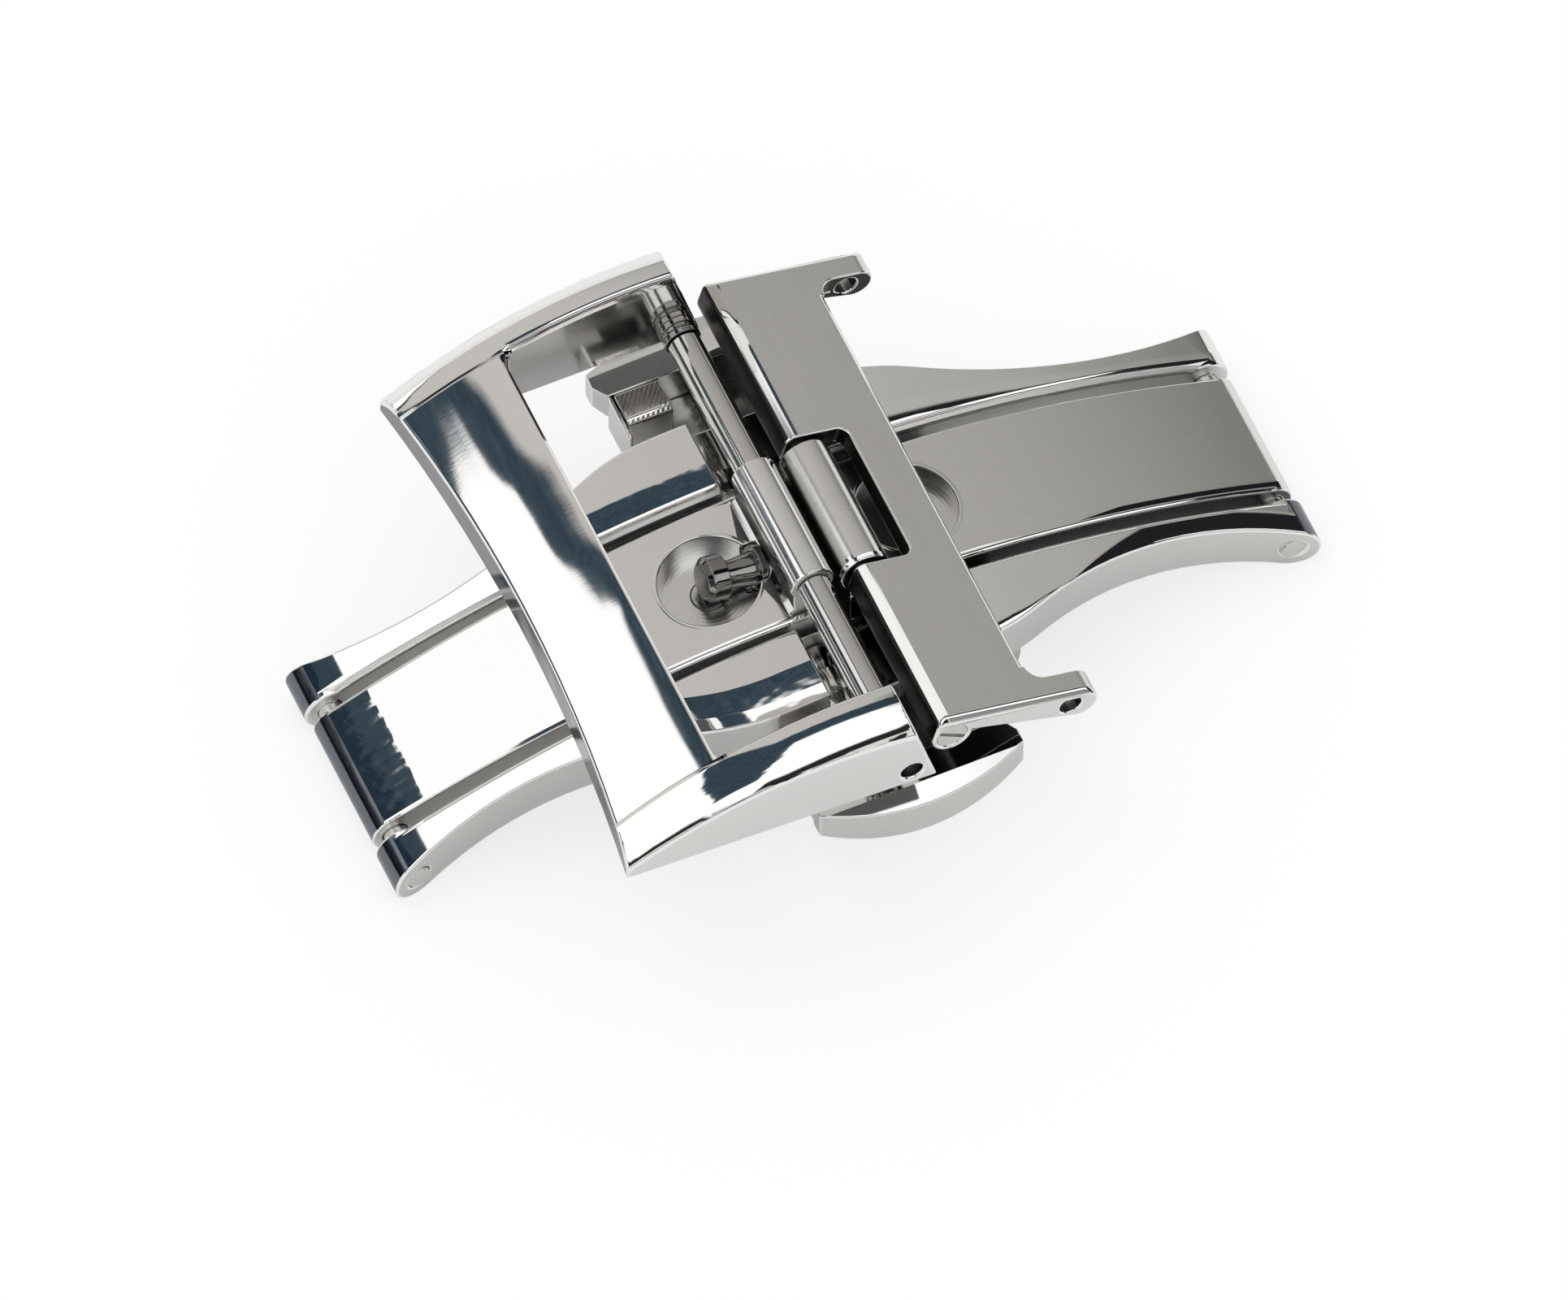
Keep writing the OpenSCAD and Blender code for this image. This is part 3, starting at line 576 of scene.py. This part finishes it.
def arm_lips(half, taper):
    """The rolled near edge of an arm: bright in its middle and dark towards its right end."""
    def pattern(finish):
        x, edge = axis(finish, "X"), arm_edge(finish, half, taper)
        line = lip(edge, before(x, line_end_x, 5.0) * after(x, -8.5, 1.0) * 0.24, 0.7, 1.1)
        return line + lip(edge, after(x, waist_from, 3.0) * 0.38, dark_slope, 1.1)
    return pattern


def arm_buffed(half, taper):
    """1 on the near edge of an arm, where a felt wheel took the grain off."""
    return lambda finish: before(arm_edge(finish, half, taper), 0.45, 0.1)


def rim(x, y, radius):
    """The raised rim round a recess."""
    rim_half = 0.16
    return lambda finish: (1.0 - ((away_from(finish, x, y) - radius) / rim_half).power(2.0)).clamped()


def link_lip(finish):
    """The rounded edge of the link towards the frame is ground to one slope, steeper at the far half."""
    round_x, top_x, flat_x, slope = 0.74, 1.03, 1.10, 0.84
    x = axis(finish, "X")
    steeper = (axis(finish, "Y") > 0) * 0.23
    rounded = before(x, top_x, top_x - round_x).power(2.0) * (slope * (top_x - round_x) / 2)
    return lip(x - round_x, flat_x - round_x, steeper + slope, 1.0) + rounded


def link_buffed(finish):
    """1 on that edge, where a felt wheel took the grain off."""
    return before(axis(finish, "X"), 1.14, 0.05)


print("frame, arms and link roll off too")

# %% [markdown]
# ## Steel
# One recipe makes every finish: metal with a colour and a gloss that change a little with the grain,
# and a chain of bumps from the broadest to the finest. A finish could also be layered from several
# shaders, but bare steel is a single surface, so one Principled shader is enough.


# %% One recipe for steel
def steel(name, colour, roughness, grain, heights, spread, buff=None):
    """Steel with a grain for its colour and gloss, and a list of bumps (pattern, depth in mm).

    Where the pattern buff is 1, the steel is glossier.
    """
    finish = Finish(bpy.data.materials.new(name))
    fleck = grain(finish)
    contrast = 1.6 * spread
    deep = tuple(v * (1 - contrast) for v in colour)
    light = tuple(min(1.0, v * (1 + contrast)) for v in colour)
    shade = finish.mix(fleck, (*deep, 1), (*light, 1))
    gloss = (fleck - 0.5) * (2 * spread) + roughness
    if buff:
        buffed_away = 0.75
        gloss = gloss * (1.0 - buff(finish) * buffed_away)
    normal = None
    for pattern, depth in heights:
        inputs = {"Height": pattern(finish), "Strength": 1.0, "Distance": depth * MM}
        if normal:
            inputs["Normal"] = normal
        normal = finish.node("ShaderNodeBump", inputs=inputs)
    surface = finish.node("ShaderNodeBsdfPrincipled", inputs={
        "Base Color": shade, "Roughness": gloss.clamped(), "Metallic": 1.0, "Normal": normal})
    finish.node("ShaderNodeOutputMaterial", inputs={"Surface": surface})
    return finish.owner


rolled = 1.0
bright = (0.90, 0.89, 0.875)
print("bright steel mirrors", bright, "of the light")

# %% [markdown]
# ## Polished finishes
# The frame, the rails and the buttons are polished on a wheel. A perfect mirror would look like glass,
# so they keep a slow waviness and a few hairlines. The legs' outer sides are brushed a little, and the
# stud and the collars are small mirrors with a dark colour as painted shade, because they stand in the
# shade of other parts.

# %% Polished steel
wavy = (along(0.16, 0.16, 0.16, 1.0), 0.08)
small_waves = (along(0.5, 0.5, 0.5, 1.0), 0.03)
hairlines = (along(3, 9, 3, 2.0), 0.0002)
polished = steel("steel_polished", bright, 0.06, along(3, 3, 3), [wavy, hairlines], 0.01)
polished_frame = steel("steel_polished_frame", bright, 0.05, along(3, 3, 3), [
    wavy, (window_lip, rolled), hairlines], 0.01)
polished_rails = steel("steel_polished_rails", bright, 0.06, along(3, 3, 3), [
    wavy, (settled_end, rolled), (rail_lips, rolled), (rail_ends, rolled), hairlines], 0.01)
# Dark colour as painted shade for the stud and the collars
shaded_polish = steel("steel_shaded_polish", (0.30, 0.29, 0.28), 0.06, along(4, 4, 4), [small_waves], 0.02)
side_polish = steel("steel_side_polish", (0.78, 0.77, 0.75), 0.16, along(0.3, 9, 9), [
    (along(0.3, 9, 9), 0.0004)], 0.03)
# Dark steel as painted shade, for walls and ends that face the dark side of the room
painted_shade_edge = steel("steel_painted_shade_edge", (0.16, 0.17, 0.185), 0.14, along(4, 4, 4), [small_waves], 0.04)
print("the wheel left waves", wavy[1], "mm deep")

# %% [markdown]
# ## Satin finishes
# Arms and link are drawn over a belt, so their grain is long in one direction: along the arms and across
# the link. The left arm is buffed softer than the right one, and one edge of the right arm and of the
# link is buffed bright. A picture of grain would do, but stretched noise needs no file and keeps its
# direction up to every edge.

# %% Satin steel
recess_left, recess_right, recess_radius = -3.6, 3.9, 1.8
left_half, left_taper = 2.85, 0.018
right_half, right_taper = 2.68, 0.0078
satin_right = steel("steel_satin_right_arm", (0.80, 0.79, 0.77), 0.20, along(0.3, 9, 9), [
    (arm_lips(right_half, right_taper), rolled), (along(0.3, 9, 9), 0.0006),
    (rim(recess_right, 0, recess_radius), 0.02)], 0.03, arm_buffed(right_half, right_taper))
satin_across = steel("steel_satin_across", (0.78, 0.77, 0.75), 0.24, along(9, 0.3, 9), [
    (link_lip, rolled), (along(9, 0.3, 9), 0.0006)], 0.03, link_buffed)
satin_fine = steel("steel_satin_fine", (0.70, 0.69, 0.67), 0.20, along(6, 6, 6), [
    (along(8, 8, 8), 0.0004)], 0.02)
soft_left = steel("steel_soft_left_arm", (0.88, 0.87, 0.855), 0.10, along(0.4, 7, 7), [
    (settled_end, rolled), (arm_lips(left_half, left_taper), rolled), (end_grain, rolled),
    (rim(recess_left, 0, recess_radius), 0.02)], 0.02)
print("recesses at", recess_left, "and", recess_right, "mm")

# %% Softly polished steel
soft_lines = (along(0.4, 7, 7), 0.0003)
sleeve_polish = steel("steel_sleeve_polish", (0.66, 0.65, 0.63), 0.08, along(0.4, 7, 7), [
    soft_lines], 0.02)
soft_polish = steel("steel_soft_polish", (0.84, 0.83, 0.815), 0.10, along(0.4, 7, 7), [
    soft_lines], 0.02)
wall_light = steel("steel_wall_light", (0.93, 0.92, 0.90), 0.40, along(0.4, 5, 5), [
    (along(0.4, 5, 5), 0.001)], 0.03)
print("sleeves, soft walls and light walls ready")

# %% [markdown]
# ## Machined finishes
# Walls inside the clasp are left as the cutter made them. They catch little light in the narrow gaps, and
# a mirror would fill them with bright stripes. They therefore get a darker colour as painted shade and
# are rougher than steel is in the open, which is cheaper than tracing many bounces. The block tops and
# the floors of the recesses keep clear marks.

# %% Machined steel
# Dark colour as painted shade for walls inside the clasp and faces under other parts
shaded_inner_wall = steel("steel_shaded_inner_wall", (0.15, 0.145, 0.14), 0.30, along(3, 3, 3), [
    (strokes((0, radians(35), 0), 0.2), 0.002)], 0.05)
slot_wall = steel("steel_slot_wall", (0.045, 0.043, 0.04), 0.35, along(3, 3, 3), [
    (along(6, 6, 0.6), 0.002)], 0.05)
milled = steel("steel_milled", (0.90, 0.86, 0.79), 0.20, along(4, 4, 4), [
    (strokes((0, 0, radians(-38)), 0.15), 0.02)], 0.08)
turned_left = steel("steel_turned_left", (0.84, 0.83, 0.81), 0.24, along(5, 5, 5), [
    (rings(recess_left, 0, 0.14), 0.0012)], 0.03)
turned_right = steel("steel_turned_right", (0.76, 0.75, 0.73), 0.24, along(5, 5, 5), [
    (rings(recess_right, 0, 0.14), 0.0012)], 0.03)
spring_wire = steel("steel_spring_wire", (0.52, 0.51, 0.50), 0.20, along(8, 2, 8), [
    (along(12, 3, 12), 0.0004)], 0.06)
screw_face = steel("steel_screw", (0.66, 0.65, 0.63), 0.18, along(6, 6, 6), [
    (along(9, 9, 9), 0.0005)], 0.04)
print(len(bpy.data.materials), "materials")

# %% [markdown]
# ## Carried-over parts
# Pins, rods and screws are right as they are, and new meshes for them would show no difference. They
# only get the finish of their slot in the record.

# %% Finish of the CAD parts
plain = {"polished_steel": polished, "satin_steel": satin_fine, "spring_steel": spring_wire,
         "screw_steel": screw_face}
for name, part in frame["nodes"].items():
    for entry in part.material_slots:
        entry.material = plain.get(entry.material.name if entry.material else "", satin_fine)
print(len(frame["nodes"]), "CAD parts finished")

# %% [markdown]
# ## Worked copies
# A CAD edge has no width, so it can't catch light. A workshop breaks every edge, and a polisher rounds
# it further. Each visible part is therefore copied, its loose triangles are merged, its flat faces are
# joined, and its edges are bevelled by the width that this part shows. Modelling the parts again would
# lose the exact fits. Corner normals then tell the renderer that flat faces are flat and only the
# bevels turn.


# %% Corner normals
def settle_normals(mesh, bevelled):
    """Faces keep their own direction, and bevels run smoothly from one face to the next."""
    same_face, next_face, same_bevel = 0.955, 0.3, 0.5
    round_vertex = {v.index: [] for v in mesh.vertices}
    for face in mesh.polygons:
        for v in face.vertices:
            round_vertex[v].append(face.index)
    normals = [face.normal.copy() for face in mesh.polygons]
    areas = [face.area for face in mesh.polygons]
    corners = []
    for face in mesh.polygons:
        own = normals[face.index]
        for v in face.vertices:
            near = [f for f in round_vertex[v] if not bevelled[f]]
            if not bevelled[face.index]:
                near = [f for f in near if normals[f].dot(own) > same_face]
                total = sum((normals[f] for f in near), Vector())
            elif near:
                best = max(near, key=lambda f: normals[f].dot(own))
                total = normals[best] if normals[best].dot(own) > next_face else own
            else:
                near = [f for f in round_vertex[v] if normals[f].dot(own) > same_bevel]
                total = sum((normals[f] * areas[f] for f in near), Vector())
            corners.append(total.normalized() if total.length > 1e-9 else own)
    mesh.normals_split_custom_set(corners)


print("flat faces stay flat")


# %% Clean copy of a CAD part
# Gaps in millimetres and angles in degrees
merge_gap, sliver, flat_angle, sharp_angle = 0.012, 0.004, 0.25, 24


def clean_copy(node):
    """Merged mesh of a CAD part, its flat faces joined as far as they stay simple."""
    bm = bmesh.new()
    bm.from_mesh(frame["nodes"][node].data)
    bmesh.ops.remove_doubles(bm, verts=bm.verts, dist=merge_gap * MM)
    bmesh.ops.dissolve_degenerate(bm, edges=bm.edges, dist=sliver * MM)
    bmesh.ops.dissolve_limit(bm, angle_limit=radians(flat_angle), verts=bm.verts, edges=bm.edges,
                             use_dissolve_boundaries=False)
    bmesh.ops.triangulate(bm, faces=[face for face in bm.faces if len(face.verts) > 4])
    return bm


def weigh_edges(bm, widths):
    """Give each sharp outer edge its share of the widest bevel, and return that width in mm."""
    share = bm.edges.layers.float.new("bevel_weight_edge")
    wanted = {}
    for edge in bm.edges:
        if edge.is_manifold and edge.is_convex and edge.calc_face_angle(0) > radians(sharp_angle):
            wanted[edge] = widths((edge.verts[0].co + edge.verts[1].co) / 2 / MM)
    widest = max(wanted.values())
    for edge, width in wanted.items():
        edge[share] = width / widest
    return widest


print("edges over", sharp_angle, "degrees get a bevel")


# %% Bevels of a copy
def bevelled_mesh(mesh, name, widest, segments, edge_slot):
    """The mesh with its weighted edges rounded; the new faces use the last slot."""
    body = bpy.data.objects.new(name, mesh)
    bpy.context.scene.collection.objects.link(body)
    ease = body.modifiers.new("ease", "BEVEL")
    ease.limit_method, ease.width, ease.segments = "WEIGHT", widest * MM, segments
    ease.profile, ease.material = 0.5, edge_slot
    ease.use_clamp_overlap, ease.loop_slide = False, False
    seen = body.evaluated_get(bpy.context.evaluated_depsgraph_get())
    rounded = bpy.data.meshes.new_from_object(seen)
    bpy.data.objects.remove(body)
    bpy.data.meshes.remove(mesh)
    return rounded


def pull_in_strays(mesh, skin, widest):
    """Put corners that a bevel threw off the part back on its skin, and count them."""
    strays = 0
    farthest, outside = 0.6 * widest * MM, 0.004 * MM
    for v in mesh.vertices:
        spot, normal, _, away = skin.find_nearest(v.co)
        if away > farthest or (v.co - spot).dot(normal) > outside:
            v.co, strays = spot, strays + 1
    return strays


print("bevels stay inside the skin")


# %% Worked copy of a CAD part
def worked(node, name, finishes, width, paint=None, edge=None, rides=None, segments=3):
    """A piece that stands for a CAD node, with eased edges and its own finishes."""
    bm = clean_copy(node)
    widest = weigh_edges(bm, width if callable(width) else lambda spot: width)
    for face in bm.faces:
        face.smooth = True
        chosen = paint(face.calc_center_median() / MM, face.normal) if paint else finishes[0]
        face.material_index = finishes.index(chosen)
    skin = BVHTree.FromBMesh(bm)
    sharp = bpy.data.meshes.new(node + "_sharp")
    bm.to_mesh(sharp)
    bm.free()
    for finish in [*finishes, edge or finishes[0]]:
        sharp.materials.append(finish)
    mesh = bevelled_mesh(sharp, node + "_sharp", widest, segments, len(finishes))
    strays = pull_in_strays(mesh, skin, widest)
    flags = [face.material_index == len(finishes) for face in mesh.polygons]
    mesh.name = name
    settle_normals(mesh, flags)
    piece = bpy.data.objects.new(name, mesh)
    bpy.context.scene.collection.objects.link(piece)
    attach(piece, rides or node)
    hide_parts(node)
    print(name, len(mesh.polygons), "faces,", sum(flags), "of them bevels,", strays, "strays")


print("ready to work the copies")

# %% [markdown]
# ## Buckle frame
# The frame covers the clasp. Its crown is one polished curve, its legs are brushed outside and soft
# inside, and its left wall gets dark steel as painted shade, because it faces the dark side of the room;
# its underside and the bore of its cross bar get painted shade too. One finish all over would be simpler,
# but a real frame is never held to the wheel evenly. The crease between crown and legs stays sharp and
# the window's chamfer is only touched.

# %% Edges and finishes of the frame
chamfer_x, left_wall_x, leg_outer_y = -7.4, -9, 10
crease_low_z, chamfer_low_z, low_edge_z = 6.5, 8.8, 6.25
cross_bar_spot, bar_bore = Vector((-0.8, 6.8)), 0.39
touched, eased = 0.03, 0.12


def frame_width(spot):
    """Width of the bevel at a place on the frame: none on the crease between crown and legs."""
    if spot.x < chamfer_x - 0.2 and 9.0 < abs(spot.y) < 9.4 and spot.z > crease_low_z:
        return 0.0
    chamfer = abs(spot.x - chamfer_x) < 0.2 and abs(spot.y) < 9 and spot.z > chamfer_low_z
    corner = abs(spot.x - chamfer_x) < 0.5 and 8.9 < abs(spot.y) < 9.6
    return touched if chamfer or corner or spot.z < low_edge_z else eased


def frame_paint(spot, normal):
    """Finish of a face of the frame."""
    from_bar = (Vector((spot.x, spot.z)) - cross_bar_spot).length
    # Painted shade: the bore of the cross bar gets dark steel
    if abs(from_bar - bar_bore) < 0.08:
        return shaded_inner_wall
    if abs(spot.y) > leg_outer_y and abs(normal.y) > 0.99:
        return side_polish
    # Painted shade: the left wall faces the dark side of the room and gets dark steel
    if normal.x < -0.7 and spot.x < left_wall_x:
        return painted_shade_edge
    # Painted shade: faces under the frame get dark steel
    if normal.z < -0.5:
        return shaded_inner_wall
    inner_side = abs(spot.y) < leg_inner_y + 0.2 and abs(normal.y) > 0.9
    return soft_polish if inner_side else polished_frame


worked("buckle_frame", "frame_polished",
       [polished_frame, side_polish, soft_polish, shaded_inner_wall, painted_shade_edge], frame_width, frame_paint)

# %% [markdown]
# ## Bridge
# The bridge is the long bowed piece under the arms. Its two rails are polished on top, satin outside
# and machined inside, where their low walls and the housing get dark steel as painted shade, and light
# falls through the gap beside the arms onto their inner faces. The roll ends on the left and at the near
# right turn away from the light and get dark steel as painted shade. The mesh could be cut up by
# finish, but painting by the place and direction of each face keeps it in one piece.


# %% Finishes of the bridge
roll_x, housing_x = 16.9, 7
gap_from, gap_to, rail_side_y = 2.9, 3.2, 3.6


def rail_paint(spot, normal):
    """Finish of a face of the bridge."""
    faces_end = normal.x * spot.x > 0.2 * abs(spot.x)
    # Painted shade: roll ends that turn away from the light get dark steel
    if abs(spot.x) > roll_x and faces_end and (spot.x < 0 or spot.y < 0):
        return painted_shade_edge
    if gap_from < abs(spot.y) < gap_to and abs(normal.y) > 0.5:
        return wall_light
    if abs(spot.y) > rail_side_y and abs(normal.z) < 0.3 and abs(normal.y) > 0.5:
        return satin_fine
    # Painted shade: low walls and the housing get dark steel
    low_wall = abs(normal.z) < 0.5 and abs(spot.x) < roll_x + 0.1 and spot.z < 5
    in_housing = abs(spot.y) < gap_from and abs(spot.x) < housing_x
    return shaded_inner_wall if low_wall or in_housing else polished_rails


worked("bridge", "bridge_rails",
       [polished_rails, satin_fine, shaded_inner_wall, wall_light, painted_shade_edge], 0.1, rail_paint)

# %% [markdown]
# ## Folding arms
# The two arms swing out from the middle of the clasp. Their tops have a fine grain and a bright near
# edge, their recesses are turned, and the end of the left one leans outwards and gets dark steel as
# painted shade. A single satin all over would hide how they were made, so the floor and wall of each
# recess get rings and the sides get plainer finishes; near walls of the right arm, undersides and faces
# under the knuckle get dark steel as painted shade.


# %% Finishes of the arms
floor_z, recess_top_z = 4.4, 5.6
knuckle_half, knuckle_low_z = 1.9, 5.4


def arm_paint(plate, floor, end=None):
    """Finish of a face of an arm with these finishes on its plate, recess and left end."""
    def paint(spot, normal):
        recess_x = recess_left if spot.x < 0 else recess_right
        away = (Vector((spot.x, spot.y)) - Vector((recess_x, 0))).length
        in_recess = floor_z - 0.2 < spot.z < recess_top_z and away < recess_radius + 0.1
        if in_recess and (normal.z > 0.9 and spot.z < floor_z or abs(normal.z) < 0.3):
            return floor
        # Painted shade: the left end gets dark steel
        if spot.x < -roll_x and normal.x < -0.2:
            return end
        if abs(normal.y) > 0.5 and (spot.x < 0 or normal.y > 0):
            return wall_light
        # Painted shade: near walls of the right arm, undersides and faces under the knuckle get dark
        # steel
        in_shade = abs(spot.x) < knuckle_half and spot.z < knuckle_low_z
        return shaded_inner_wall if abs(normal.y) > 0.5 or normal.z < 0.15 or in_shade else plate
    return paint


worked("left_arm", "left_arm_plate",
       [soft_left, polished, turned_left, shaded_inner_wall, wall_light, painted_shade_edge], 0.07,
       arm_paint(soft_left, turned_left, painted_shade_edge), polished)
worked("right_arm", "right_arm_plate",
       [satin_right, polished, turned_right, shaded_inner_wall, wall_light], 0.07,
       arm_paint(satin_right, turned_right), polished)

# %% [markdown]
# ## Strap link
# The link holds the other half of the strap. Its plate is satin across, and its slot and back look black
# because hardly any light comes back out of them. Real darkness would come from many bounces of light;
# a dark rough steel gives it at once and without noise.


# %% Finishes of the link
ear_y, slot_half = 9.6, 3.2


def link_paint(spot, normal):
    """Finish of a face of the link."""
    back = abs(spot.y) < ear_y and (normal.x < -0.6 or normal.z < 0.1)
    slot_side = abs(normal.y) > 0.6 and abs(spot.y) < slot_half
    return slot_wall if back or slot_side else satin_across


worked("strap_link", "link_plate", [satin_across, polished, slot_wall], 0.08,
       link_paint, polished)

# %% [markdown]
# ## Push buttons
# The two buttons are pressed together to open the clasp. Their upright faces are satin, and their tops
# are polished. The block of each slide is milled on top and shows the slanting path of the cutter. Both
# sides could be written out one by one, but the clasp is the same on both, so one loop makes them.


# %% Push buttons and their slides
block_low_z = 3.5


def button_paint(spot, normal):
    """Finish of a face of a button."""
    return satin_fine if abs(normal.z) < 0.5 else polished


def slide_paint(spot, normal):
    """Finish of a face of a slide."""
    return milled if spot.z > block_low_z and normal.z > 0.5 else satin_fine


for side in sides:
    worked(f"{side}_button", f"{side}_push_button", [polished, satin_fine], 0.06,
           button_paint)
    worked(f"{side}_slide", f"{side}_latch_slide", [satin_fine, milled, polished], 0.09,
           slide_paint, polished, f"{side}_button")

# %% [markdown]
# ## Small turned parts
# The stud, the collars and the sleeves come off a lathe and only have their corners broken. Their CAD
# shape is complete and could be left as it is, but without a broken corner they would look like
# drawings. A narrow bevel is enough at this size, and collars and sleeves need fewer steps in it.

# %% Small turned parts
worked("strap_stud", "stud_spool", [shaded_polish], 0.05, rides="left_arm")
worked("bar_collars", "collars_grooved", [shaded_polish], 0.04, rides="buckle_frame",
       segments=2)
for side in sides:
    worked(f"{side}_sleeve", f"{side}_bar_sleeve", [sleeve_polish], 0.04,
           rides="buckle_frame", segments=2)

# %% [markdown]
# ## Return springs
# Each button is pushed out by a coil of round wire on its guide rod. In CAD the coil is a stack of
# rings, which is enough to show its room. Here it is a true coil: a small circle is spun round the rod
# and moved along it at the same time. A Screw modifier could do it too, but spin makes the mesh at
# once. The coil sits between the floor of its pocket and the button, and it rides with the button.

# %% One coil
coil_from, coil_to, rod_height, press = 5.0, 8.86, 3.75, 0.7
coil_radius, wire_radius, turns, steps = 0.45, 0.1, 9, 20
coil_length = coil_to - coil_from


def coil_of_wire(name, away):
    """Mesh of a coil on the rod of one side; away is the side's direction along y."""
    coil = bmesh.new()
    lie = Matrix.Translation(Vector((coil_radius, away * (coil_from + wire_radius), rod_height)) * MM)
    bmesh.ops.create_circle(coil, cap_ends=True, segments=10, radius=wire_radius * MM, matrix=lie)
    rise = (coil_length - 2 * wire_radius) * away
    bmesh.ops.spin(coil, geom=coil.verts[:] + coil.edges[:] + coil.faces[:],
                   cent=Vector((0, 0, rod_height)) * MM, axis=(0, 1, 0), angle=2 * pi * turns,
                   steps=turns * steps, dvec=Vector((0, rise / (turns * steps), 0)) * MM)
    bmesh.ops.remove_doubles(coil, verts=coil.verts, dist=0.0005 * MM)
    bmesh.ops.recalc_face_normals(coil, faces=coil.faces)
    for face in coil.faces:
        face.smooth = len(face.verts) == 4
    mesh = bpy.data.meshes.new(name)
    coil.to_mesh(mesh)
    coil.free()
    mesh.materials.append(spring_wire)
    return mesh


print("a coil is", round(coil_length, 2), "mm long and has", turns, "turns")

# %% Springs on their rods
for side, away in sides.items():
    coil_mesh = coil_of_wire(f"{side}_coil_spring", away)
    spring = bpy.data.objects.new(f"{side}_coil_spring", coil_mesh)
    bpy.context.scene.collection.objects.link(spring)
    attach(spring, f"{side}_button")
    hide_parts(f"{side}_spring")
    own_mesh(spring)
    print(spring.name, len(coil_mesh.polygons), "faces")
